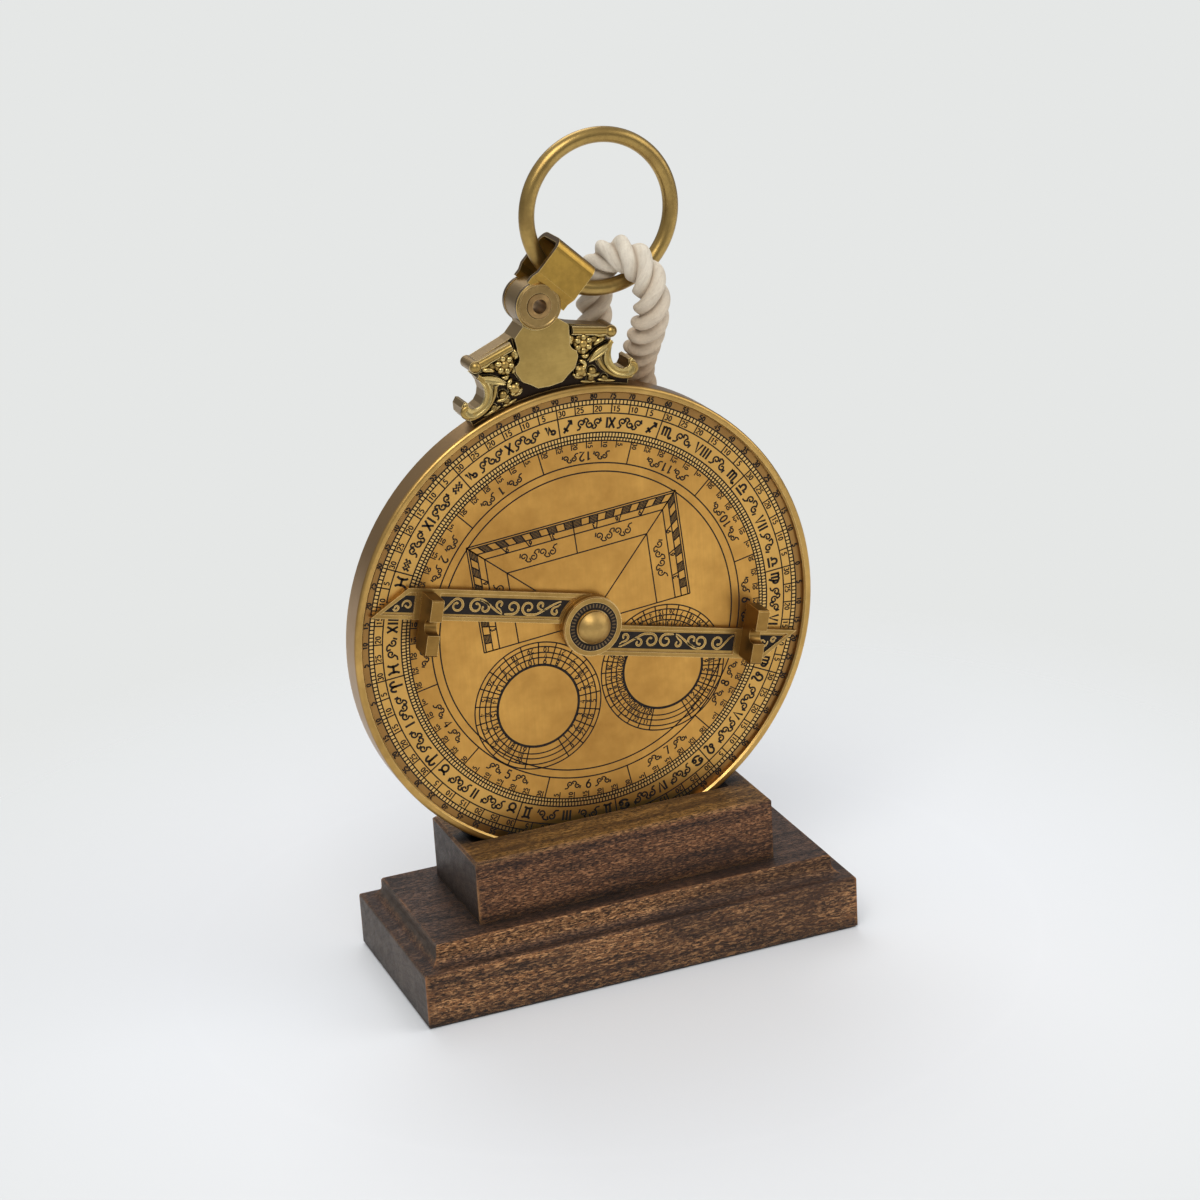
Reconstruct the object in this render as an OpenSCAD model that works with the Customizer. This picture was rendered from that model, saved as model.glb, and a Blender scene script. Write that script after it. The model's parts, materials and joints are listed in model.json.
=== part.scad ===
// Planispheric astrolabe on a wooden display stand.
// X runs along the stand, the engraved dial faces -Y, +Z is up.
// The origin is the centre of the stand's underside. Millimetres.

/* [Stand] */
// Length of the plinth, left to right
base_l = 169; // [150:1:190]
// Depth of the plinth, front to back
base_d = 77; // [66:1:90]
// Height of the lower tier
tier_h = 20.9; // [18:0.1:23]
// Height of both tiers together
base_h = 28.5; // [26.5:0.1:32]
// How far the upper tier stands in from the lower one
tier_in = 7; // [6:0.5:9]
// Length of the slotted block
block_l = 116; // [108:1:124]
// Depth of the slotted block
block_d = 47; // [40:1:54]
// Height of the block's top above the table
block_top = 52.5; // [51:0.1:53]

/* [Case] */
// Radius of the round case
disc_r = 88; // [86:0.5:89]
// Thickness of the case over its bezel
case_t = 11; // [10.6:0.1:11.4]
// Width of the raised bezel round the dial
bezel_w = 3; // [2.5:0.1:3.5]
// Height of the dial's centre above the table
disc_z = 126.8; // [126.6:0.1:127.5]
// Sideways place of the dial's centre in the slot
disc_x = -2; // [-4:0.5:4]
// Lean of the throne to the left, in degrees
lean = 5.8; // [0:0.1:9]

/* [Throne and suspension] */
// Distance from the dial's centre to the shackle's pivot
pivot_v = 120; // [119.5:0.1:121]
// Lean of the shackle to the right of vertical, in degrees
shackle_lean = 43.7; // [30:0.1:46]
// Width of the shackle's strap
strap_w = 17; // [15:0.1:17.4]
// Thickness of the shackle's strap
strap_t = 1.8; // [1.4:0.1:2]
// Radius of the ring, to the middle of its wire
ring_r = 26.7; // [25.5:0.1:28]
// Thickness of the ring's wire
wire_d = 5.5; // [5:0.1:5.6]
// Thickness of the rope's core solid
rope_d = 12.4; // [11.5:0.1:12.6]

/* [Alidade] */
// Distance from the centre to each tip of the alidade
alidade_r = 83; // [78:0.5:84]
// Width of each counterchanged arm
arm_w = 11.4; // [9:0.1:12]
// Turn of the alidade from level, in degrees
alidade_turn = -12.5; // [-180:0.5:180]
// Distance from the centre to each sighting vane
vane_at = 63; // [58:0.5:66]
// How far a vane stands out from its arm
vane_out = 10.5; // [8:0.5:12]
// Height of a vane across its arm
vane_h = 20.4; // [18:0.2:22]

/* [Star map] */
// Turn of the star map, in degrees
rete_turn = 24; // [-180:1:180]
// Turn of the rule, in degrees
rule_turn = 38; // [-180:1:180]

/* [Hidden] */
$fn = 96;
obliquity = 23.44;
brass = "goldenrod";
old_brass = "darkgoldenrod";
wood = "saddlebrown";
// Depths are counted from the middle of the case towards the viewer
front = case_t / 2;
back = -case_t / 2;
dial_face = 3.5;
dial_t = 1.2;
floor_back = 0.2;
womb_r = 75.2;
plate_r = 74.8;
plate_t = 1.2;
limb_t = 0.8;
rete_t = 1.4;
rete_face = -4.1;
run = 0.1;
pin_r = 3;
pin_bore = 3.05;
rule_t = 1.5;
rule_r = 73;
washer_t = 0.8;
wedge_turn = 12;
arm_t = 2.1;
hub_r = 11.2;
hub_t = 5;
vane_t = 4.5;
notch_w = 5;
notch_deep = 4.6;
slot_gap = 0.3;
slot_r = 100;
screw_r = 2;
screw_x = 36;
screw_l = 40;
throne_back = -5;
recess = 2.2;
scroll_face = 4.2;
knuckle_r = 8.1;
knuckle_t = 10;
eye_r = 8.3;
eye_in = 5.1;
rivet_r = 3.5;
rivet_bore = 2.5;
strap_out = 2;
strap_top = 22.6;
wire_at = 12;
rope_sides = 10;
// Closed route of the rope: over the ring, down behind the case and up again
rope_route = [[12.6, 14.2, 223.5], [13.1, 12.7, 232], [13.3, 11.4, 240], [13.6, 10.2, 247.5],
    [15.2, 7.2, 254.4], [18.5, 0.5, 258.6], [22.3, -6.2, 257], [25.6, -9.4, 250.4],
    [26.6, -9.6, 243.5], [26.9, -7, 236.5], [27.2, -2.2, 230.2], [27.6, 3.4, 224.2],
    [28, 9.2, 217.5], [28.8, 13.6, 210.5], [31.2, 15.5, 202], [35, 15.5, 190],
    [36.4, 15.5, 176], [34.6, 15.5, 163], [28.6, 15.5, 155.4], [21, 15.5, 154],
    [13.4, 15.5, 155.4], [7.4, 15.5, 163], [5.6, 15.5, 176], [6.6, 15.5, 190],
    [9.6, 15.5, 203], [11.6, 15.2, 214]];
bight_last = 11;

// A point on a circle
function on_circle(r, a, c = [0, 0]) = [c.x + r * cos(a), c.y + r * sin(a)];
// An arc as a list of points
function arc(r, from, to, c = [0, 0], steps = 12) =
    [for (i = [0:steps]) on_circle(r, from + (to - from) * i / steps, c)];
// The unit vector along v
function unit(v) = v / norm(v);
// A closed outline from its right half, which starts and ends on the axis
function both(half) = concat(half, [for (i = [len(half) - 2:-1:1]) [-half[i].x, half[i].y]]);

// Stands the flat drawing up: its X stays, its Y goes up, its Z faces the viewer
module facing() {
    translate([disc_x, 0, disc_z]) rotate([90, 0, 0]) children();
}

// A slab of the flat drawing between two depths
module slab(low, high) {
    translate([0, 0, low]) linear_extrude(high - low) children();
}

// The frame of the throne's knuckle, with Y along the shackle
module at_pivot() {
    facing() rotate(lean) translate([0, pivot_v, 0]) rotate(-lean - shackle_lean) children();
}

// The plinth's moulded outline: a rounded lower tier, a cove and the upper tier
module tier_outline(half) {
    cove = tier_in - 2.4;
    top_edge = half - tier_in;
    polygon(both(concat([[0, 0], [half - 0.9, 0], [half, 0.9]],
        arc(1.2, 0, 90, [half - 1.2, tier_h - 1.2], 6),
        arc(cove, -90, -170, [top_edge + cove, tier_h + cove], 8),
        [[top_edge, base_h - 0.9], [top_edge - 0.5, base_h], [0, base_h]])));
}

module stand_base() {
    color(wood) difference() {
        intersection() {
            rotate([90, 0, 0]) translate([0, 0, -base_d])
                linear_extrude(2 * base_d) tier_outline(base_l / 2);
            rotate([90, 0, 90]) translate([0, 0, -base_l])
                linear_extrude(2 * base_l) tier_outline(base_d / 2);
        }
        for (side = [-1, 1]) translate([side * screw_x, 0, 0]) {
            translate([0, 0, -1]) cylinder(r = screw_r + 0.1, h = base_h + 2);
            translate([0, 0, -0.01]) cylinder(r1 = 5.2, r2 = screw_r + 0.1, h = 4.2);
        }
    }
}

// Outline of the block's end, with its worn top edges
module block_end(half) {
    soft = 0.9;
    polygon([[-half, base_h], [half, base_h], [half, block_top - soft],
        [half - soft, block_top], [soft - half, block_top], [-half, block_top - soft]]);
}

module stand_block() {
    slot_bottom = disc_z - disc_r - slot_gap;
    color(wood) difference() {
        intersection() {
            rotate([90, 0, 0]) translate([0, 0, -block_d])
                linear_extrude(2 * block_d) block_end(block_l / 2);
            rotate([90, 0, 90]) translate([0, 0, -block_l])
                linear_extrude(2 * block_l) block_end(block_d / 2);
        }
        translate([disc_x, 0, slot_bottom + slot_r]) rotate([90, 0, 0])
            cylinder(r = slot_r, h = case_t + 2 * slot_gap, center = true, $fn = 180);
        for (side = [-1, 1]) translate([side * screw_x, 0, base_h - 1])
            cylinder(r = screw_r + 0.05, h = screw_l + 2 - base_h + 1);
    }
}

module stand_screws() {
    color("silver") for (side = [-1, 1]) translate([side * screw_x, 0, 0.6]) difference() {
        union() {
            cylinder(r1 = 4.4, r2 = screw_r, h = 3.4);
            cylinder(r = screw_r, h = screw_l - 1.6);
            translate([0, 0, screw_l - 1.7]) cylinder(r1 = screw_r, r2 = 0.4, h = 2.2);
        }
        translate([0, 0, 0.6]) cube([12, 1, 1.3], center = true);
    }
}

// The cast case: a bezel round the dial's recess, and the womb behind
module mater() {
    round_r = 1.3;
    wall = concat([[pin_bore, floor_back], [womb_r, floor_back], [womb_r, back + limb_t],
        [disc_r - 0.9, back + limb_t], [disc_r - 0.9, back], [disc_r - 0.3, back], [disc_r, back + 0.3]],
        arc(round_r, 0, 90, [disc_r - round_r, front - round_r], 8),
        [[disc_r - bezel_w + 0.6, front], [disc_r - bezel_w, front - 0.6],
        [disc_r - bezel_w, dial_face - dial_t], [pin_bore, dial_face - dial_t]]);
    color(old_brass) facing() difference() {
        rotate_extrude($fn = 180) polygon(wall);
        for (side = [-1, 1]) rotate(lean + side * 9) rotate([-90, 0, 0])
            translate([0, 0, disc_r - 6]) cylinder(r = 1.25, h = 8, $fn = 24);
        rotate(lean + 180) translate([0, womb_r, back - 1]) cylinder(r = 2.2, h = -back + floor_back + 1);
    }
}

// The graduated ring let into the hidden face
module limb_ring() {
    color(brass) facing() slab(back, back + limb_t) difference() {
        circle(r = disc_r - 1, $fn = 180);
        circle(r = womb_r, $fn = 180);
    }
}

// The engraved dial plate in its recess
module back_plate() {
    color(brass) facing() slab(dial_face - dial_t, dial_face) difference() {
        circle(r = disc_r - bezel_w - 0.05, $fn = 180);
        circle(r = pin_bore);
    }
}

// A climate plate with the lug that stops it from turning
module climate(number) {
    top = floor_back - 0.02 - number * (plate_t + 0.02);
    color(brass) facing() slab(top - plate_t, top) difference() {
        union() {
            circle(r = plate_r, $fn = 180);
            rotate(lean + 180) translate([0, womb_r]) circle(r = 1.9);
        }
        circle(r = pin_bore);
    }
}

module tympan_lower() climate(0);
module tympan_upper() climate(1);

// A star pointer: a curved thorn between two circles, tip at the origin
module thorn(length, bend) {
    reach = length / 2;
    intersection() {
        translate([reach, bend * length * 0.72]) circle(r = norm([reach, length * 0.72]));
        translate([reach, -bend * length * 0.42]) circle(r = norm([reach, length * 0.42]));
    }
}

// A leaf tendril that carries a star pointer, drawn from its root
module star(root, angle, stem, length, side) {
    translate(root) rotate(angle) {
        translate([0, -0.8]) square([stem, 1.6]);
        translate([stem, 0]) circle(r = 1.9);
        translate([stem + length, 0]) mirror([1, 0]) thorn(length, side);
        translate([stem * 0.55, side * 1.7]) circle(r = 1.5);
    }
}

// The openwork star map: tropic ring, ecliptic ring, bars and flame-shaped pointers
module rete() {
    shrink = tan((90 - obliquity) / 2);
    tropic_r = plate_r - 0.6;
    equator_r = tropic_r * shrink;
    cancer_r = equator_r * shrink;
    ecliptic_r = (tropic_r + cancer_r) / 2;
    ecliptic_up = (tropic_r - cancer_r) / 2;
    color(brass) facing() rotate(rete_turn) slab(rete_face, rete_face + rete_t) difference() {
        union() {
            // the outer ring, on the winter tropic
            difference() {
                circle(r = tropic_r, $fn = 180);
                circle(r = tropic_r - 4.2, $fn = 180);
            }
            // the ecliptic ring, off the centre
            translate([0, ecliptic_up]) difference() {
                circle(r = ecliptic_r - 0.4, $fn = 180);
                circle(r = ecliptic_r - 6.4, $fn = 180);
            }
            // the equinoctial bar, stepped over the centre
            translate([4 - tropic_r, -1.8]) square([tropic_r - 3, 3.6]);
            translate([-1, -1.8]) square([tropic_r - 3, 3.6]);
            // the meridian bar
            translate([-1.6, 3 - tropic_r]) square([3.2, tropic_r + 34]);
            // the lower arc, on the equator
            intersection() {
                difference() {
                    circle(r = equator_r + 1.6, $fn = 180);
                    circle(r = equator_r - 1.6, $fn = 180);
                }
                translate([-60, -70]) square([120, 62]);
            }
            // the boss, with a quatrefoil round it
            circle(r = 9);
            for (a = [45:90:315]) translate(on_circle(7.6, a)) circle(r = 4.2);
            // pointers inside the ecliptic, then those on the lower arc and the tropic
            for (s = [[[20, 2], 68, 9, 10, 1], [[-20, 2], 112, 9, 10, -1],
                    [[33, 2], 52, 7, 9, 1], [[-33, 2], 128, 7, 9, -1],
                    [[1, 26], 35, 8, 9, -1], [[-1, 34], 150, 7, 9, 1]])
                star(s[0], s[1], s[2], s[3], s[4]);
            for (s = [[-150, 1], [-128, -1], [-108, 1], [-72, -1], [-52, 1], [-30, -1]])
                star(on_circle(equator_r, s[0]), s[0], 5, 10, s[1]);
            for (s = [[-140, 1], [-117, -1], [-82, 1], [-62, -1], [-40, 1]])
                star(on_circle(tropic_r - 3, s[0]), s[0] + 180, 5, 9, s[1]);
            for (side = [-1, 1]) for (s = [[18, 24], [44, 30]])
                star(on_circle(tropic_r - 3, 90 - side * s[1] * 1.9), 270 - side * s[1] * 1.9, 3, 7, side);
        }
        circle(r = pin_bore + 0.03);
    }
}

// The rule over the star map: two straight bevelled arms, each stopping at the centre line
module rule() {
    color(brass) facing() rotate(rule_turn) difference() {
        slab(back - run - rule_t, back - run) {
            polygon([[-5, 0], [-5, 6.5], [7 - rule_r, 6.5], [-rule_r, 0]]);
            polygon([[5, 0], [5, -6.5], [rule_r - 7, -6.5], [rule_r, 0]]);
            circle(r = 9.6);
            for (side = [-1, 1]) rotate(90 - side * 90) translate([13, 0]) mirror([0, 1])
                intersection() { circle(r = 6.4); translate([-7, 0]) square([14, 7]); }
        }
        translate([0, 0, back - 4]) cylinder(r = pin_bore, h = 6);
    }
}

module rule_washer() {
    top = back - run - rule_t - 0.02;
    color(old_brass) facing() slab(top - washer_t, top) difference() {
        circle(r = 6.2);
        circle(r = pin_bore);
    }
}

// The domed pin on which everything turns, slotted at its tail for the wedge
module centre_pin() {
    head_base = dial_face + hub_t + 0.15;
    tail = back - 7.2;
    skirt = 1.2;
    dome = 3.2;
    dome_r = 6.1;
    ball_r = (dome_r * dome_r + dome * dome) / (2 * dome);
    color(brass) facing() difference() {
        union() {
            translate([0, 0, tail]) cylinder(r = pin_r, h = head_base - tail + 0.5);
            translate([0, 0, head_base]) cylinder(r = dome_r, h = skirt);
            translate([0, 0, head_base + skirt]) intersection() {
                translate([0, 0, dome - ball_r]) sphere(r = ball_r);
                cylinder(r = dome_r + 1, h = dome + 1);
            }
        }
        rotate(wedge_turn) translate([0, 0, tail + 2.95]) cube([8, 1.8, 3.8], center = true);
    }
}

// The tapered wedge, its thick end shaped as a plain curl
module wedge() {
    low = back - 2.6;
    color(old_brass) facing() rotate(wedge_turn) rotate([90, 0, 0]) translate([0, 0, -0.8])
        linear_extrude(1.6) difference() {
            union() {
                polygon([[-12, low], [-12, low - 1.2], [5, low - 3.4], [9.4, low - 3.3], [9.4, low]]);
                translate([10.5, low - 2.6]) circle(r = 2.5);
                translate([12.6, low - 4.4]) circle(r = 1.4);
            }
            translate([10.6, low - 2.6]) circle(r = 0.9);
        }
}

module alidade_washer() {
    color(old_brass) facing() slab(dial_face + hub_t + 0.02, dial_face + hub_t + 0.12) difference() {
        circle(r = 6.3);
        circle(r = pin_bore);
    }
}

// Outline of one alidade arm, on one side of the centre line only
module arm_outline(shrink = 0) {
    slope = 12.4;
    polygon([[1.2, shrink], [1.2, arm_w - shrink], [alidade_r - slope - shrink * 0.4, arm_w - shrink],
        [alidade_r - shrink * 2.2, shrink]]);
}

// The counterchanged sighting bar with its sunk panels and round hub
module alidade() {
    low = dial_face + 0.08;
    color(brass) facing() rotate(alidade_turn) difference() {
        union() {
            for (turn = [0, 180]) rotate(turn) mirror([1, 0]) {
                slab(low, low + arm_t - 0.5) arm_outline();
                slab(low, low + arm_t) difference() {
                    arm_outline();
                    difference() {
                        arm_outline(1.5);
                        translate([vane_at - 4.6, -1]) square([9.2, arm_w + 2]);
                        circle(r = hub_r + 0.8);
                    }
                }
            }
            slab(low, dial_face + hub_t - 0.6) circle(r = hub_r);
            slab(low, dial_face + hub_t) difference() {
                circle(r = hub_r - 0.3);
                difference() {
                    circle(r = hub_r - 2.1);
                    circle(r = hub_r - 4.8);
                }
            }
        }
        cylinder(r = pin_bore, h = 40, center = true);
        for (side = [-1, 1]) for (v = [3, 8.4]) translate([side * vane_at, -side * v, 0])
            cylinder(r = 0.85, h = 40, center = true, $fn = 24);
    }
}

// A sighting vane: a thick block across the arm, notched for the eye
module vane(side) {
    low = dial_face + 0.1 + arm_t;
    color(brass) facing() rotate(alidade_turn) translate([side * vane_at, 0, low]) difference() {
        rotate([90, 0, 90]) translate([0, 0, -vane_t / 2]) linear_extrude(vane_t) difference() {
            polygon([[-vane_h / 2, 0.6], [-vane_h / 2 + 0.6, 0], [vane_h / 2 - 0.6, 0], [vane_h / 2, 0.6],
                [vane_h / 2, vane_out - 0.5], [vane_h / 2 - 0.5, vane_out],
                [-vane_h / 2 + 0.5, vane_out], [-vane_h / 2, vane_out - 0.5]]);
            translate([-notch_w / 2, vane_out - notch_deep + notch_w / 2]) square([notch_w, notch_deep]);
            translate([0, vane_out - notch_deep + notch_w / 2]) circle(r = notch_w / 2);
        }
        for (v = [3, 8.4]) translate([0, -side * v, -1]) cylinder(r = 0.85, h = 5, $fn = 24);
    }
}

module vane_left() vane(-1);
module vane_right() vane(1);

module vane_rivets() {
    low = dial_face + 0.14;
    color(old_brass) facing() rotate(alidade_turn)
        for (side = [-1, 1]) for (v = [3, 8.4]) translate([side * vane_at, -side * v, low])
            cylinder(r = 0.8, h = arm_t + 3.8, $fn = 24);
}

// Edge of a C-scroll from its upper tip, in along the hollow and out round the toe
scroll_hollow = [[30, 85.5], [31.8, 86.3], [33, 88.2], [32.8, 91], [31.5, 92.7], [30.4, 92.3], [30.1, 90.6],
    [29, 89.2], [27.3, 89], [25.4, 90], [24, 91.8], [23.3, 94.2], [23.6, 96.8], [24.4, 98.7], [25.6, 100.3]];
knob = [25.4, 103.9];

// Flat outline of the cast throne, on the rim and up to its knuckle
module throne_outline() {
    difference() {
        union() {
            polygon(both(concat([[0, 80], [29, 80], [29.4, 83.4]], scroll_hollow,
                [[22.4, 101.2], [24.6, 101.6], [25.8, 103], [25.8, 105.2], [12.4, 109.4], [10.1, 110.4],
                [6.4, 113.8], [6.4, 118], [0, 118]])));
            for (side = [-1, 1]) translate([side * knob.x, knob.y]) circle(r = 2.1);
            translate([0, pivot_v]) circle(r = knuckle_r);
        }
        circle(r = disc_r + 0.02, $fn = 180);
    }
}

// The plain shield between the scrolls
module field_outline() {
    difference() {
        polygon(both(concat([[0, 90.6], [4.6, 91], [7.2, 93], [9.8, 94.6], [11.6, 98.2]],
            arc(3.2, -110, -205, [12.6, 103.6], 6),
            [[9.8, 107.6], [10.1, 110.4], [6.4, 113.8], [0, 113.8]])));
        translate([0, pivot_v]) circle(r = eye_r + 0.4);
    }
}

// A raised scroll: a half-round moulding bent along an arc
module scroll(centre, r, from, sweep, thick, face = scroll_face) {
    translate([centre.x, centre.y, face]) rotate(from) rotate_extrude(angle = sweep)
        translate([r, 0]) circle(r = thick, $fn = 16);
}

// A raised ball on the recessed ground
module ball(x, y, r, sink = 0.4) {
    translate([x, y, recess + sink]) sphere(r = r, $fn = 20);
}

// One side of the throne's ornament: bar, knob, leafy C-scroll, rosette and balls
module scrollwork() {
    slab(throne_back + 0.3, 4.4) polygon([[11, 106.2], [25.2, 102.4], [25.8, 105.3], [11.6, 109.2]]);
    translate([11.4, 107.6, 4.1]) rotate([0, 90, -14.6]) cylinder(r = 1.25, h = 14, $fn = 16);
    translate([knob.x, knob.y, throne_back]) cylinder(r = 2.2, h = 4.6 - throne_back, $fn = 32);
    translate([knob.x, knob.y, 4.2]) sphere(r = 2.1, $fn = 24);
    slab(throne_back, scroll_face) polygon(concat([[22.6, 99.9], [19.6, 99.2], [17.2, 97.6], [15.2, 95.6],
        [17, 95.8], [18.6, 95], [19.2, 93], [20.6, 90.6], [22.6, 88.6], [25.2, 86.9], [27.8, 85.9]],
        scroll_hollow));
    scroll([29.5, 94.9], 7, 128, 142, 0.95);
    scroll([30.5, 97.5], 11.3, 190, 80, 0.75);
    scroll([30.9, 88.9], 1.6, -100, 200, 1);
    scroll([14.7, 101.9], 2.6, 0, 359, 1.15, 3);
    translate([14.7, 101.9, 3.4]) sphere(r = 1.8, $fn = 20);
    ball(10.4, 104.6, 1.9);
    ball(12.4, 92.4, 2.2);
    ball(16.8, 91.2, 1.8, 0);
    ball(15.9, 88.7, 1.5, 0);
    ball(20.9, 87.4, 1.5, 0);
    ball(19.2, 102.3, 1.7, 0);
}

// The cast throne with its shield, knuckle and two sides of scrollwork
module throne() {
    color(brass) facing() rotate(lean) difference() {
        union() {
            slab(throne_back, recess) throne_outline();
            slab(recess - 0.5, front - 0.1) field_outline();
            slab(-knuckle_t / 2, knuckle_t / 2) difference() {
                union() {
                    translate([0, pivot_v]) circle(r = knuckle_r);
                    translate([-6.4, 110.4]) square([12.8, 6]);
                }
                circle(r = 90);
            }
            for (side = [0, 1]) mirror([side, 0, 0]) scrollwork();
        }
        translate([0, pivot_v, -20]) cylinder(r = rivet_r + 0.02, h = 40);
        for (side = [-1, 1]) rotate(side * 9) rotate([-90, 0, 0])
            translate([0, 0, disc_r - 1]) cylinder(r = 1.25, h = 4.2, $fn = 24);
    }
}

// Two pins that hold the throne's foot on the rim
module throne_pins() {
    color(old_brass) facing() rotate(lean) for (side = [-1, 1]) rotate(side * 9) rotate([-90, 0, 0])
        translate([0, 0, disc_r - 5.8]) cylinder(r = 1.2, h = 8.6, $fn = 24);
}

// Side view of the bent strap: eye, joggle, straight leg and the square bend over the wire
module strap_side(grow) {
    inner = eye_in + strap_out;
    soft = 2.2;
    polygon(both(concat([[0, -eye_r - 1], [eye_in + grow, -eye_r - 1], [eye_in + grow, 6.4],
        [inner + grow, 9]], arc(soft + grow, 0, 90, [inner - soft, strap_top - strap_t - soft], 10),
        [[0, strap_top - strap_t + grow]])));
}

// The shackle: one strap bent over the ring's wire, with an eye on each side of the knuckle
module shackle() {
    color(old_brass) at_pivot() difference() {
        intersection() {
            rotate([90, 0, 90]) translate([0, 0, -strap_w / 2]) rotate(90) mirror([0, 1])
                linear_extrude(strap_w) strap_section();
            slab(-20, 20) union() {
                circle(r = eye_r);
                translate([-strap_w / 2, 4]) square([strap_w, strap_top]);
            }
        }
        cylinder(r = rivet_r + 0.08, h = 40, center = true);
    }
}

// The strap's wall in side view, between its inner and its outer line
module strap_section() {
    difference() {
        strap_side(strap_t);
        strap_side(0);
        translate([-20, -eye_r - 3]) square([40, 1.9]);
    }
}

// The tubular rivet, flared over both eyes
module shackle_rivet() {
    reach = eye_in + strap_t + 0.05;
    wall = [[rivet_bore, -reach - 0.9], [rivet_bore + 0.5, -reach - 1.1], [4.3, -reach - 0.6], [4.5, -reach],
        [rivet_r, -reach], [rivet_r, reach], [4.5, reach], [4.3, reach + 0.6],
        [rivet_bore + 0.5, reach + 1.1], [rivet_bore, reach + 0.9]];
    color("peru") at_pivot() rotate_extrude() polygon(wall);
}

module ring() {
    color(old_brass) at_pivot() translate([0, wire_at + ring_r, 0])
        rotate_extrude($fn = 120) translate([ring_r, 0]) circle(r = wire_d / 2, $fn = 32);
}

// A tube along part of the rope's closed route, with one ring of corners at each point;
// the tail's ends stop a hair short of the other piece
module tube(from, to) {
    count = len(rope_route);
    across = unit([0.5, 1, 0]);
    function at(i) = rope_route[(i + count) % count];
    rings = [for (i = [from:to])
        let (ahead = unit(at(i + 1) - at(i - 1)),
            side = unit(cross(across, ahead)),
            up = cross(ahead, side),
            clear = from == 0 ? 0 : i == from ? 0.1 : i == to ? -0.1 : 0)
        [for (k = [0:rope_sides - 1]) let (a = 360 * k / rope_sides)
            at(i) + clear * ahead + rope_d / 2 * (cos(a) * side + sin(a) * up)]];
    last = to - from;
    walls = [for (i = [0:last - 1]) for (k = [0:rope_sides - 1])
        let (next = (k + 1) % rope_sides)
        [i * rope_sides + k, (i + 1) * rope_sides + k, (i + 1) * rope_sides + next, i * rope_sides + next]];
    ends = [[for (k = [0:rope_sides - 1]) k],
        [for (k = [rope_sides - 1:-1:0]) last * rope_sides + k]];
    polyhedron([for (one = rings) for (p = one) p], concat(walls, ends));
}

module rope_bight() color("ivory") tube(0, bight_last);

module rope_tail() color("ivory") tube(bight_last, len(rope_route));

// The twine whipping over the place where the rope's ends meet
module rope_whipping() {
    color("beige") translate([21, 15.5, 154.2]) rotate([0, 90, 0]) difference() {
        cylinder(r = rope_d / 2 + 1.5, h = 9, center = true);
        cylinder(r = rope_d / 2 + 0.7, h = 11, center = true);
    }
}

stand_base();
stand_block();
stand_screws();
mater();
limb_ring();
back_plate();
tympan_lower();
tympan_upper();
rete();
rule();
rule_washer();
centre_pin();
wedge();
alidade_washer();
alidade();
vane_left();
vane_right();
vane_rivets();
throne();
throne_pins();
shackle();
shackle_rivet();
ring();
rope_bight();
rope_tail();
rope_whipping();
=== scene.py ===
# %% [markdown]
# A brass astrolabe stands in the slot of a dark wood stand. The solids of every
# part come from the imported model; this lesson gives them their finish and adds
# what is too fine for a solid: the engraving, the chased scrolls and the rope.
# All sizes below are in millimetres and become metres only when a mesh is made.

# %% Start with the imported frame
import json
import math

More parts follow.
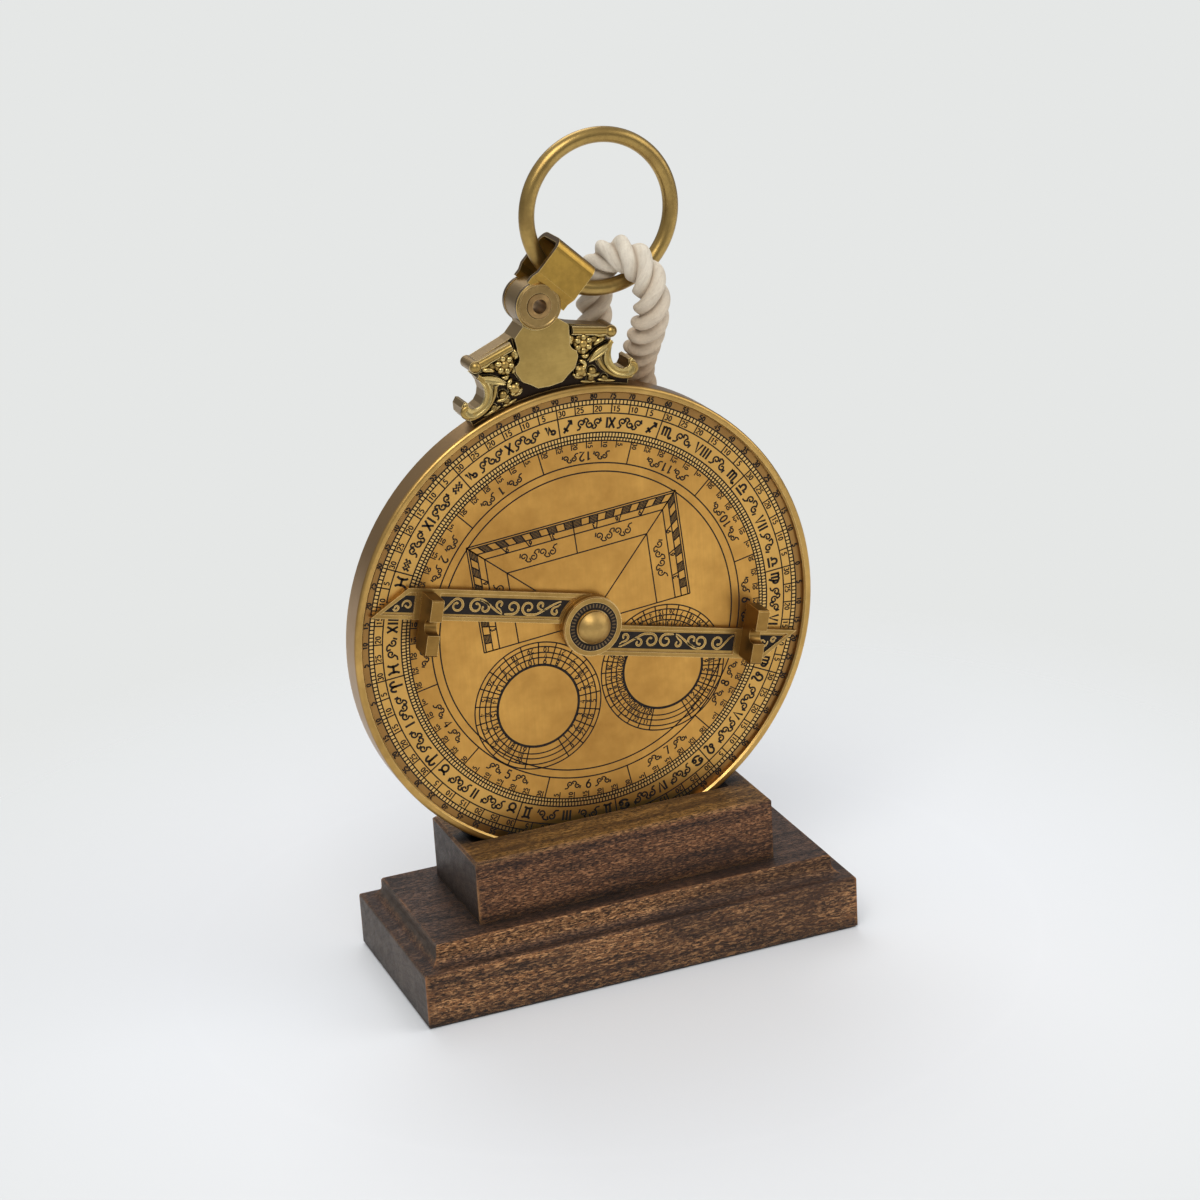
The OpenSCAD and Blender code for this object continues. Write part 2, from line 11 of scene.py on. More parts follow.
import bpy
import numpy as np
from mathutils import Matrix
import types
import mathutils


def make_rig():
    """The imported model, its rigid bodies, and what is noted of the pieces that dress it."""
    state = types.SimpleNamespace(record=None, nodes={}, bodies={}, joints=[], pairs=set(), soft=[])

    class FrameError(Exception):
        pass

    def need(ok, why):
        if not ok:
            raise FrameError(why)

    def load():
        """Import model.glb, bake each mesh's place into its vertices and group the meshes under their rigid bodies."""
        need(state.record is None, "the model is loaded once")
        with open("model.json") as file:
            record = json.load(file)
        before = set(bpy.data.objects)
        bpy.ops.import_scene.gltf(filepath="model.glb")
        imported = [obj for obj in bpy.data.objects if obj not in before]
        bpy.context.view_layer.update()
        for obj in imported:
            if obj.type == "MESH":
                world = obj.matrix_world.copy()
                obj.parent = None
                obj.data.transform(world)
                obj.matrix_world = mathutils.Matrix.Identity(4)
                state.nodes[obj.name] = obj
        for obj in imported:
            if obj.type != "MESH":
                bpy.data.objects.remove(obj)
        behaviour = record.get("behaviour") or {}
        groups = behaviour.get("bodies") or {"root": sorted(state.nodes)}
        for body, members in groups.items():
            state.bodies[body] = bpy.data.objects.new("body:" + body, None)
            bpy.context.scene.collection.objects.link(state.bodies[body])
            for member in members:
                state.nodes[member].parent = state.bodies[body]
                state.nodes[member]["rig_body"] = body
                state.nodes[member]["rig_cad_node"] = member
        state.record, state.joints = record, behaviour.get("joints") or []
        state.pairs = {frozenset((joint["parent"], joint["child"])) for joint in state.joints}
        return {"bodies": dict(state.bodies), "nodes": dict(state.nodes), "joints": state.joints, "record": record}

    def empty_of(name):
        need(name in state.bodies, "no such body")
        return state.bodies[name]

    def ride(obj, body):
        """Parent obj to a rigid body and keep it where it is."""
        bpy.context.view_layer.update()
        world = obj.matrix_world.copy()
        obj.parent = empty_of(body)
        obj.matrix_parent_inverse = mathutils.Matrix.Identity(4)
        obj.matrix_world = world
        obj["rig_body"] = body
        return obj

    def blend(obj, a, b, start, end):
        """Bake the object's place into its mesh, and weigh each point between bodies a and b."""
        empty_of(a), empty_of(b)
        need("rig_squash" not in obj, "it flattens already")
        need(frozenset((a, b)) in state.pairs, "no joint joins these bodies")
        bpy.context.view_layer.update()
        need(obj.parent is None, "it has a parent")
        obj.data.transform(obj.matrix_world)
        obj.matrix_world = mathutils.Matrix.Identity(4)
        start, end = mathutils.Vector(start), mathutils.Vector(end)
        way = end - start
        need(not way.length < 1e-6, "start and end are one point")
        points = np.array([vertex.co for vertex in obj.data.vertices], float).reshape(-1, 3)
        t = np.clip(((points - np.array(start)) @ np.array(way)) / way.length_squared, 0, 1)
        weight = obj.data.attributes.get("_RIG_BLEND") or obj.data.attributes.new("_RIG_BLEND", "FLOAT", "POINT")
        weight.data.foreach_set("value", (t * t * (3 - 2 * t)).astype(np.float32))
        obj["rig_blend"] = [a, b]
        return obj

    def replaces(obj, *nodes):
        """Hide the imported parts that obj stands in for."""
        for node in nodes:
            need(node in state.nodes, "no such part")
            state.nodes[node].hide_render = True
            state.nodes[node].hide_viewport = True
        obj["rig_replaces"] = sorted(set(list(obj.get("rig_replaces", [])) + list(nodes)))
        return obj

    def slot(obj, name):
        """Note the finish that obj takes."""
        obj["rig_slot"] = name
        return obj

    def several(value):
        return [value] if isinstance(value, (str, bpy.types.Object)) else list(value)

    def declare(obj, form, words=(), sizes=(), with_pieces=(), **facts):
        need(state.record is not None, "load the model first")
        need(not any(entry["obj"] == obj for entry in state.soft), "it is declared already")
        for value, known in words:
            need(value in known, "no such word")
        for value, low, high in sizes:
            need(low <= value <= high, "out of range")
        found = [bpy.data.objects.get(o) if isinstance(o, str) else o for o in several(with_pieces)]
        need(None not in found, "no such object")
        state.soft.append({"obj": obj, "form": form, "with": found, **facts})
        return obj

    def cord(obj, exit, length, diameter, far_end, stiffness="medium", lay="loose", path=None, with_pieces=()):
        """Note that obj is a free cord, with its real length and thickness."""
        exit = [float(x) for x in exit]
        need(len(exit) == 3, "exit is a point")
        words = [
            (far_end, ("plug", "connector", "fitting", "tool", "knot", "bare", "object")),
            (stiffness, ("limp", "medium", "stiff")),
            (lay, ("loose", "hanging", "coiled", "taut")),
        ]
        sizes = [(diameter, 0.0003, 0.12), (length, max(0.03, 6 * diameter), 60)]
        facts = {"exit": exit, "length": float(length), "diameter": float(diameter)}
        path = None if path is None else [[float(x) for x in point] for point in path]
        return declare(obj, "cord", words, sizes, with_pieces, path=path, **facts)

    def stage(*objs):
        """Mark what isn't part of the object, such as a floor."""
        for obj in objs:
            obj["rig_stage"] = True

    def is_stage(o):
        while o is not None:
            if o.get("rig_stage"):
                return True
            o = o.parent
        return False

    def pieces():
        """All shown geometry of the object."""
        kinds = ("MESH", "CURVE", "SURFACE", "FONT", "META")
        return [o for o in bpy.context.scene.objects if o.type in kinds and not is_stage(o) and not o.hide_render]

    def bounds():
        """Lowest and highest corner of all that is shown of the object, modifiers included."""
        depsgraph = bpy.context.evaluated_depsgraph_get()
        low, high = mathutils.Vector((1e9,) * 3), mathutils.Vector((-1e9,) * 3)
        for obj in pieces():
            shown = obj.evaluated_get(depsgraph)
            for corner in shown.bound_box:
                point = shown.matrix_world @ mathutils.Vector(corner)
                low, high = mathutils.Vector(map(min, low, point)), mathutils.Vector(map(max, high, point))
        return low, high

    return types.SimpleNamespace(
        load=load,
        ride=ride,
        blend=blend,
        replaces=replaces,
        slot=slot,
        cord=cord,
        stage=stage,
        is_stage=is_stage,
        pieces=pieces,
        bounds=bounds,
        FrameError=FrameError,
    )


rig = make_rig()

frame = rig.load()
size_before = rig.bounds()
nodes = frame["nodes"]
MM = 0.001
# The middle of the round case, and both engraved faces out from there
DISC_X, DISC_Z = -2.0, 126.8
DIAL_OUT, LIMB_OUT = 3.5, 5.5
# Leans and turns in degrees
LEAN_THRONE, LEAN_DIAL, LEAN_SQUARE = 5.8, 5.0, 5.3
ALIDADE_TURN, RETE_TURN, RULE_TURN = -12.5, 24.0, 38.0
# Circles of the dial: the rim's, then the inner circle of each band
R_RIM, R_DEGREES, R_PARTS, R_SIGNS, R_SUN, R_DAYS, R_MONTHS, R_PLAIN = (
    82.4, 80.7, 77.4, 70.5, 68.75, 67.5, 59.4, 56.3)

# %% [markdown]
# The camera looks down a little from the left. Its place and its long lens were
# found by fitting the stand's corners, the round case and the ring, so that each
# of them falls where the photograph has it.

# %% Camera
def put(name, data):
    """A new object in the scene for a mesh, a lamp or a camera."""
    made = bpy.data.objects.new(name, data)
    bpy.context.scene.collection.objects.link(made)
    return made


def stand_at(item, right, up, back, position):
    """Sets an object by the directions of its own three axes and its place in metres."""
    rows = np.column_stack([right, up, back, position])
    item.matrix_world = Matrix([*rows.tolist(), (0, 0, 0, 1)])


lens = bpy.data.cameras.new("camera")
lens.lens, lens.sensor_width, lens.sensor_fit = 87.14, 36.0, "HORIZONTAL"
lens.shift_x = -0.0037
lens.clip_start, lens.clip_end = 0.05, 20
camera = put("camera", lens)
stand_at(camera, (0.92497, -0.37586, -0.05634), (0.17864, 0.29913, 0.93735),
         (-0.33545, -0.87708, 0.34382), (-0.34475, -0.91719, 0.49240))
bpy.context.scene.camera = camera
bpy.context.scene.view_settings.view_transform = "Standard"

# %% [markdown]
# Every added piece is a surface worked out as whole arrays. One helper puts corners
# and faces into a mesh. Two more number the faces of a grid of points, one row for
# each step along the piece: a tube with closed ends, and a hoop that has none.

# %% Helpers that make meshes
def add_piece(name, corners, faces, material=None, smooth=False, uv=None):
    """A mesh object from corners in millimetres and faces as rows of corner numbers;
    an end cap of many corners stays flat where the rest is smooth."""
    mesh = bpy.data.meshes.new(name)
    corners = np.asarray(corners, float) * MM
    faces = [np.asarray(f, int) for f in faces]
    loops = np.concatenate([f.ravel() for f in faces])
    sizes = np.concatenate([np.full(len(f), f.shape[1]) for f in faces])
    mesh.vertices.add(len(corners))
    mesh.vertices.foreach_set("co", corners.ravel().astype(np.float32))
    mesh.loops.add(len(loops))
    mesh.loops.foreach_set("vertex_index", loops.astype(np.int32))
    mesh.polygons.add(len(sizes))
    starts = np.concatenate([[0], np.cumsum(sizes)[:-1]])
    mesh.polygons.foreach_set("loop_start", starts.astype(np.int32))
    mesh.polygons.foreach_set("use_smooth", (sizes <= 4) & bool(smooth))
    if uv is not None:
        layer = mesh.uv_layers.new(name="along")
        layer.data.foreach_set("uv", np.asarray(uv, np.float32)[loops].ravel())
    mesh.update(calc_edges=True)
    mesh.validate()
    if material:
        mesh.materials.append(material)
    return put(name, mesh)


def tube_faces(rows, cols):
    """Faces of a tube from a grid of points, a row for each step, with both ends closed."""
    i, j = np.meshgrid(np.arange(rows - 1), np.arange(cols), indexing="ij")
    k = (j + 1) % cols
    sides = np.stack([i * cols + j, i * cols + k, (i + 1) * cols + k, (i + 1) * cols + j], -1)
    first_row = np.arange(cols)[None]
    return [sides.reshape(-1, 4), first_row[:, ::-1], first_row + (rows - 1) * cols]


def hoop_faces(rows, cols):
    """Faces of a grid of points that closes both ways, like a tyre."""
    i, j = np.meshgrid(np.arange(rows), np.arange(cols), indexing="ij")
    m, k = (i + 1) % rows, (j + 1) % cols
    return [np.stack([i * cols + j, m * cols + j, m * cols + k, i * cols + k], -1).reshape(-1, 4)]


class Pile:
    """Gathers many small surfaces, so that a whole set of marks is one piece."""

    def __init__(self):
        """Starts empty."""
        self.corners, self.faces, self.count = [], {}, 0

    def add(self, corners, faces):
        """Takes corners, and faces that count from the first of them."""
        for f in faces:
            f = np.asarray(f, int)
            self.faces.setdefault(f.shape[1], []).append(f + self.count)
        self.corners.append(np.asarray(corners, float).reshape(-1, 3))
        self.count += len(self.corners[-1])

    def piece(self, name, material, body, smooth=False):
        """Makes one mesh of everything and lets it ride on a body."""
        made = add_piece(name, np.concatenate(self.corners),
                         [np.concatenate(f) for f in self.faces.values()], material, smooth)
        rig.ride(made, body)
        print(name, len(made.data.polygons), "faces")


def turned(points, degrees):
    """Flat points turned anticlockwise about the centre."""
    a = math.radians(degrees)
    p = np.asarray(points, float)
    return np.stack([p[..., 0] * math.cos(a) - p[..., 1] * math.sin(a),
                     p[..., 0] * math.sin(a) + p[..., 1] * math.cos(a)], -1)


def on_face(points, out, turn=0.0, hidden=False):
    """Flat points, right and up from the dial's centre, set on the case at a depth; on
    the hidden face right becomes left."""
    p = turned(points, turn)
    x = DISC_X + (-p[..., 0] if hidden else p[..., 0])
    depth = np.broadcast_to(np.asarray(out, float), x.shape)
    return np.stack([x, depth if hidden else -depth, DISC_Z + p[..., 1]], -1)


def circle(r, count=48, centre=(0, 0), start=0.0, sweep=360.0):
    """Points along a circle or an arc."""
    a = np.radians(start + sweep * np.linspace(0, 1, count + 1))
    return np.stack([centre[0] + r * np.cos(a), centre[1] + r * np.sin(a)], -1)


# %% [markdown]
# The rope is a loop of three-strand cord laid over the ring. The whole loop is
# worked out once: a smooth closed line, a frame carried along it without twist,
# and a section of three touching strands that turns as it goes. It is then cut in
# two where both halves hang from the shackle, so that each can bend at one joint.

# %% The rope's line
ROPE_ROUTE = np.array([
    [12.6, 14.2, 223.5], [13.1, 12.7, 232], [13.3, 11.4, 240], [13.6, 10.2, 247.5],
    [15.2, 7.2, 254.4], [18.5, 0.5, 258.6], [22.3, -6.2, 257], [25.6, -9.4, 250.4],
    [26.6, -9.6, 243.5], [26.9, -7, 236.5], [27.2, -2.2, 230.2], [27.6, 3.4, 224.2],
    [28, 9.2, 217.5], [28.8, 13.6, 210.5], [31.2, 15.5, 202], [35, 15.5, 190],
    [36.4, 15.5, 176], [34.6, 15.5, 163], [28.6, 15.5, 155.4], [21, 15.5, 154],
    [13.4, 15.5, 155.4], [7.4, 15.5, 163], [5.6, 15.5, 176], [6.6, 15.5, 190],
    [9.6, 15.5, 203], [11.6, 15.2, 214]])
CUT_KNOT, PER_SPAN = 11, 14
ROPE_R, ROPE_LAY, STRANDS, ROPE_SIDES = 6.5, 22.5, 3, 72


def smooth_loop(knots, per_span):
    """Closed curve through the knots: on each span a cubic whose end slopes are half
    the chord between the neighbours."""
    t = np.linspace(0, 1, per_span, endpoint=False)[None, :, None]
    a, b, c, d = (np.roll(knots, s, 0)[:, None, :] for s in (1, 0, -1, -2))
    curve = 0.5 * (2 * b + (c - a) * t + (2 * a - 5 * b + 4 * c - d) * t**2
                   + (3 * b - a - 3 * c + d) * t**3)
    return curve.reshape(-1, 3)


def unit(vectors):
    """Each vector over its length."""
    return vectors / np.linalg.norm(vectors, axis=-1, keepdims=True)


def loop_frames(line):
    """Two directions across a closed line, the first also square to a fixed direction
    that the line never takes, and the angle by which they have turned at each point
    against directions that would be carried along without any twist."""
    ahead = unit(np.roll(line, -1, 0) - np.roll(line, 1, 0))
    side = unit(np.cross(ahead, [0.5, 1.0, 0.0]))
    next_ahead, next_side = np.roll(ahead, -1, 0), np.roll(side, -1, 0)
    carried = side - next_ahead * (side * next_ahead).sum(1, keepdims=True)
    step = np.arctan2((np.cross(carried, next_side) * next_ahead).sum(1),
                      (carried * next_side).sum(1))
    return side, np.cross(ahead, side), np.concatenate([[0], np.cumsum(step)])


def strand_section(phi):
    """Radius of a rope at an angle round it: the outermost of three circles that touch
    the rope's middle, each the rope's radius across, so the radius is that width times
    the cosine of the angle from the nearest strand."""
    third = 2 * math.pi / STRANDS
    return ROPE_R * np.cos((phi + third / 2) % third - third / 2)


rope_line = smooth_loop(ROPE_ROUTE, PER_SPAN)
rope_side, rope_up, turning = loop_frames(rope_line)
steps = np.linalg.norm(np.roll(rope_line, -1, 0) - rope_line, axis=1)
rope_run = np.concatenate([[0], np.cumsum(steps)])
thirds = round(STRANDS * (rope_run[-1] / ROPE_LAY - turning[-1] / (2 * math.pi)))
whole_twist = 2 * math.pi * thirds / STRANDS + turning[-1]
rope_twist = whole_twist * rope_run / rope_run[-1] - turning
print("rope loop", round(rope_run[-1], 1), "mm long,", thirds / STRANDS, "turns of lay")

# %% [markdown]
# The first half of the rope rides on the ring and bends down to the shackle. The
# second starts at the shackle and bends to the legs behind the case, where a
# whipping of twine holds the two ends together.

# %% The two halves of the rope
def rope_piece(name, first, last):
    """A lobed tube: at each step the three-strand section is drawn in the plane across
    the line, turned by the lay; the piece and its middle line in metres."""
    index = np.arange(first, last + 1)
    i = index % len(rope_line)
    phi = np.linspace(0, 2 * math.pi, ROPE_SIDES, endpoint=False)
    lobe_at = phi[None, :] - rope_twist[index][:, None]
    r = strand_section(lobe_at)
    points = (rope_line[i][:, None] + (r * np.cos(phi))[..., None] * rope_side[i][:, None]
              + (r * np.sin(phi))[..., None] * rope_up[i][:, None])
    strand = lobe_at / (2 * math.pi) * STRANDS
    uv = np.stack([np.broadcast_to(rope_run[index][:, None], strand.shape), strand], -1)
    piece = add_piece(name, points.reshape(-1, 3), tube_faces(len(index), ROPE_SIDES),
                      smooth=True, uv=uv.reshape(-1, 2))
    return piece, rope_line[i] * MM


cut = CUT_KNOT * PER_SPAN
rope_over, over_path = rope_piece("rope_over_ring", 0, cut)
rope_under, under_path = rope_piece("rope_behind_case", cut, len(rope_line))
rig.blend(rope_over, "ring", "shackle", start=(0.02, 0, 0.247), end=(0.02, 0, 0.228))
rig.blend(rope_under, "shackle", "astrolabe", start=(0.02, 0.01, 0.222), end=(0.02, 0.0155, 0.165))


def coil(middle, r, wire, turns, length, per_turn=28, sides=8):
    """Twine wound round the X axis: a thin tube whose middle line is a helix; corners
    and faces."""
    t = np.linspace(0, 1, turns * per_turn + 1)
    a = 2 * math.pi * turns * t
    radial = np.stack([np.zeros_like(a), np.cos(a), np.sin(a)], -1)
    line = np.array(middle) + radial * r + np.stack([(t - .5) * length, 0 * t, 0 * t], -1)
    phi = np.linspace(0, 2 * math.pi, sides, endpoint=False)[None, :, None]
    corners = line[:, None] + wire * (np.cos(phi) * radial[:, None]
                                      + np.sin(phi) * np.array([1.0, 0, 0]))
    return corners.reshape(-1, 3), tube_faces(len(t), sides)


whipping = add_piece("twine_whipping", *coil((21, 15.5, 154.15), 6.75, 0.62, 8, 8.6), smooth=True)
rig.ride(whipping, "astrolabe")
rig.replaces(whipping, "rope_whipping")
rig.slot(whipping, "twine")
ROPE_D = 0.0127
over_long = float(np.linalg.norm(np.diff(over_path, axis=0), axis=1).sum())
under_long = float(np.linalg.norm(np.diff(under_path, axis=0), axis=1).sum())
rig.cord(rope_over, exit=over_path[0], length=over_long, diameter=ROPE_D, far_end="object",
        stiffness="medium", lay="hanging", path=over_path)
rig.cord(rope_under, exit=under_path[0], length=under_long, diameter=ROPE_D, far_end="object",
        stiffness="medium", lay="hanging", path=under_path, with_pieces=(whipping,))
for piece, node in ((rope_over, "rope_bight"), (rope_under, "rope_tail")):
    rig.replaces(piece, node)
    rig.slot(piece, "rope")
print("rope pieces", round(over_long, 4), round(under_long, 4), "m")

# %% [markdown]
# Old brass is not one colour. Its finish is mixed from four effects that several
# materials share, so each is a node group: cloudy mottling, worn edges found by
# comparing a softened normal with the true one, which on the brass also carry a painted
# highlight, dark patina in the recesses together with the painted shade that falls
# there, and the fine lines that a polishing cloth leaves.

# %% Shared shader effects
COLOUR, VALUE, VECTOR = "NodeSocketColor", "NodeSocketFloat", "NodeSocketVector"


def new_group(name, inputs, outputs):
    """A node group with named sockets and its two end nodes."""
    tree = bpy.data.node_groups.new(name, "ShaderNodeTree")
    for label, kind, value in inputs:
        socket = tree.interface.new_socket(label, in_out="INPUT", socket_type=kind)
        if value is not None:
            socket.default_value = value
    for label, kind in outputs:
        tree.interface.new_socket(label, in_out="OUTPUT", socket_type=kind)
    return tree, tree.nodes.new("NodeGroupInput"), tree.nodes.new("NodeGroupOutput")


def node(tree, kind, **values):
    """A new node of a kind, with its properties set."""
    made = tree.nodes.new(kind)
    for key, value in values.items():
        setattr(made, key, value)
    return made


def set_input(tree, socket, value):
    """Links an input to an output, or sets it to a number, a vector or a colour."""
    if isinstance(value, bpy.types.NodeSocket):
        tree.links.new(value, socket)
    elif isinstance(value, tuple) and len(socket.default_value) == 4:
        socket.default_value = (*value[:3], 1)
    else:
        socket.default_value = value


def feed(tree, sockets, **values):
    """Sets several inputs by their names, where an underscore stands for a space."""
    for label, value in values.items():
        set_input(tree, sockets[label.replace("_", " ")], value)


def maths(tree, operation, a, b=None, clamp=False):
    """A Math node fed by sockets or numbers; gives its output."""
    made = node(tree, "ShaderNodeMath", operation=operation, use_clamp=clamp)
    for socket, value in zip(made.inputs, (a,) if b is None else (a, b)):
        set_input(tree, socket, value)
    return made.outputs[0]


def times(tree, a, b, clamp=False):
    """The product of two sockets or numbers."""
    return maths(tree, "MULTIPLY", a, b, clamp)


def vector_maths(tree, operation, *values):
    """A Vector Math node fed by sockets or vectors; gives the node, which has a vector
    and a value to give."""
    made = node(tree, "ShaderNodeVectorMath", operation=operation)
    for socket, value in zip(made.inputs, values):
        set_input(tree, socket, value)
    return made


def mix_colour(tree, factor, a, b):
    """A colour mix fed by sockets or colours; gives its output. The node keeps its two
    colours in inputs 6 and 7 and the mixed one in output 2."""
    made = node(tree, "ShaderNodeMix", data_type="RGBA")
    for slot, value in ((0, factor), (6, a), (7, b)):
        set_input(tree, made.inputs[slot], value)
    return made.outputs[2]


def ramp(tree, value, low, high):
    """Zero below low, one above high, straight between."""
    made = node(tree, "ShaderNodeMapRange", clamp=True)
    feed(tree, made.inputs, Value=value, From_Min=low, From_Max=high)
    return made.outputs["Result"]


def noise(tree, vector, scale, detail=4.0, rough=0.55):
    """Noise over the given coordinates."""
    made = node(tree, "ShaderNodeTexNoise")
    feed(tree, made.inputs, Vector=vector, Scale=scale, Detail=detail, Roughness=rough)
    return made.outputs["Fac"]


def stretched(tree, vector, scale):
    """Coordinates scaled apart along the three axes, so that noise turns into streaks."""
    made = node(tree, "ShaderNodeMapping")
    feed(tree, made.inputs, Vector=vector, Scale=scale)
    return made.outputs["Vector"]


mottle, g_in, g_out = new_group("cloudy mottling",
    [("Vector", VECTOR, None), ("Light", COLOUR, (0.6, 0.4, 0.15, 1)),
     ("Dark", COLOUR, (0.4, 0.25, 0.08, 1)), ("Scale", VALUE, 60.0)],
    [("Color", COLOUR), ("Mask", VALUE)])
wide = noise(mottle, g_in.outputs["Vector"], g_in.outputs["Scale"], 5.0, 0.6)
fine = noise(mottle, g_in.outputs["Vector"], times(mottle, g_in.outputs["Scale"], 9.0), 3.0)
both = maths(mottle, "ADD", times(mottle, wide, 0.72), times(mottle, fine, 0.28))
mask = ramp(mottle, both, 0.36, 0.64)
clouds = mix_colour(mottle, mask, g_in.outputs["Dark"], g_in.outputs["Light"])
feed(mottle, g_out.inputs, Mask=mask, Color=clouds)

# Mask of rounded edges: real wear, and on the brass a painted highlight too.
edges, g_in, g_out = new_group("worn edges",
    [("Vector", VECTOR, None), ("Radius", VALUE, 0.0006), ("Breakup", VALUE, 400.0)],
    [("Mask", VALUE)])
softened = node(edges, "ShaderNodeBevel", samples=6)
feed(edges, softened.inputs, Radius=g_in.outputs["Radius"])
true = node(edges, "ShaderNodeNewGeometry")
dot = vector_maths(edges, "DOT_PRODUCT", softened.outputs["Normal"], true.outputs["Normal"])
away = maths(edges, "SUBTRACT", 1.0, dot.outputs["Value"])
breakup = noise(edges, g_in.outputs["Vector"], g_in.outputs["Breakup"], 3.0)
rough_edge = times(edges, away, times(edges, breakup, 2.4))
feed(edges, g_out.inputs, Mask=ramp(edges, rough_edge, 0.03, 0.2))

# Occlusion mask: patina in the recesses together with the painted shade that falls there.
patina_and_shade, g_in, g_out = new_group("patina in recesses",
    [("Reach", VALUE, 0.004)], [("Mask", VALUE)])
shade = node(patina_and_shade, "ShaderNodeAmbientOcclusion", samples=6, only_local=False)
feed(patina_and_shade, shade.inputs, Distance=g_in.outputs["Reach"])
shut_in = maths(patina_and_shade, "SUBTRACT", 1.0, shade.outputs["AO"])
feed(patina_and_shade, g_out.inputs, Mask=ramp(patina_and_shade, shut_in, 0.3, 0.85))

hairlines, g_in, g_out = new_group("fine hairlines",
    [("Vector", VECTOR, None)], [("Height", VALUE), ("Mask", VALUE)])
line_noise = noise(hairlines, g_in.outputs["Vector"], 1.0, 2.0, 0.7)
feed(hairlines, g_out.inputs, Height=line_noise, Mask=ramp(hairlines, line_noise, 0.35, 0.65))


# %% [markdown]
# A brass finish is one function: it lays the shared effects over each other and
# hands them to one metal shader. Only the colours, the roughness and the direction
# of the hairlines change between the polished, the brushed and the brown parts.

# %% Brass finishes
def new_material(name):
    """A material with its node tree and its shader."""
    material = bpy.data.materials.new(name)
    material.use_nodes = True
    return material, material.node_tree, material.node_tree.nodes["Principled BSDF"]


def place_group(tree, group, **values):
    """An instance of a shared effect with its own values."""
    made = node(tree, "ShaderNodeGroup", node_tree=group)
    feed(tree, made.inputs, **values)
    return made


def add_relief(tree, shader, height, strength, distance):
    """Lets a height roughen the surface under the shader."""
    bump = node(tree, "ShaderNodeBump")
    feed(tree, bump.inputs, Height=height, Strength=strength, Distance=distance)
    feed(tree, shader.inputs, Normal=bump.outputs["Normal"])


def object_axis(tree, coordinates, axis):
    """One of the three numbers of a position, a normal or a place in a map."""
    parts = node(tree, "ShaderNodeSeparateXYZ")
    tree.links.new(coordinates, parts.inputs[0])
    return parts.outputs[axis]


def dimmed(colour, share):
    """A colour times a number."""
    return tuple(c * share for c in colour)


def brass_finish(name, light, dark, rough, lines, bright=None, recess=None, scale=55.0,
                 reach=0.004, edge=0.0006, line_depth=0.12, side=None, ground=None, bands=()):
    """A metal whose colour is mottled, lighter on its edges as worn brass with a painted
    highlight, and darker in its recesses with patina and painted shade; side is the colour
    of faces that look neither forward nor back, a painted shade on them and a painted light
    on the rivet discs, ground gives two depths between which the forward faces grow dark,
    a painted shade with patina towards the floor of the relief, and bands are rings of the
    dial, each with its two radii in millimetres, a colour and how much of it is laid on."""
    material, tree, shader = new_material(name)
    coordinates = node(tree, "ShaderNodeTexCoord")
    where = coordinates.outputs["Object"]
    base = place_group(tree, mottle, Vector=where, Light=light, Dark=dark, Scale=scale)
    streaks = place_group(tree, hairlines, Vector=stretched(tree, where, lines))
    colour = mix_colour(tree, times(tree, streaks.outputs["Mask"], 0.25),
                        base.outputs["Color"], dimmed(light, 0.7))
    facing = maths(tree, "ABSOLUTE", object_axis(tree, coordinates.outputs["Normal"], "Y"))
    # Faces that look sideways take the side colour: a painted shade, on the rivet discs a painted light.
    if side:
        colour = mix_colour(tree, ramp(tree, facing, 0.25, 0.75), side, colour)
    if bands:
        flat = vector_maths(tree, "MULTIPLY_ADD", where, (1, 0, 1), (-DISC_X * MM, 0, -DISC_Z * MM))
        radius = vector_maths(tree, "LENGTH", flat.outputs["Vector"]).outputs["Value"]
        for low, high, band_colour, share in bands:
            inside = times(tree, ramp(tree, radius, low * MM, (low + .3) * MM),
                           ramp(tree, radius, high * MM, (high - .3) * MM))
            colour = mix_colour(tree, times(tree, inside, share), colour, band_colour)
    # Painted shade with patina: forward faces darken towards the floor of the relief.
    if ground:
        forward = times(tree, object_axis(tree, where, "Y"), -1.0)
        low = maths(tree, "SUBTRACT", 1.0, ramp(tree, forward, *ground))
        low = times(tree, low, ramp(tree, facing, 0.1, 0.5))
        front_only = ramp(tree, forward, 0.0, 0.0012)
        colour = mix_colour(tree, times(tree, low, front_only), colour, recess)
    # Recesses darken: patina and painted shade.
    if recess:
        deep = place_group(tree, patina_and_shade, Reach=reach)
        colour = mix_colour(tree, deep.outputs["Mask"], colour, recess)
    # Edges lighten: worn brass and a painted highlight.
    if bright:
        wear_and_highlight = place_group(tree, edges, Vector=where, Radius=edge)
        colour = mix_colour(tree, wear_and_highlight.outputs["Mask"], colour, bright)
    gloss = maths(tree, "ADD", times(tree, base.outputs["Mask"], -0.1), rough + 0.1)
    feed(tree, shader.inputs, Base_Color=colour, Metallic=0.95, Roughness=gloss)
    add_relief(tree, shader, streaks.outputs["Height"], line_depth, 0.0002)
    return material


# Near black for hollows: patina and painted shade, also in the rivet's bore.
PATINA_AND_SHADE_BLACK = (0.022, 0.014, 0.009)
WARM, PALE, RIM_SHADE_BROWN = (0.72, 0.43, 0.12), (0.80, 0.52, 0.18), (0.23, 0.125, 0.048)
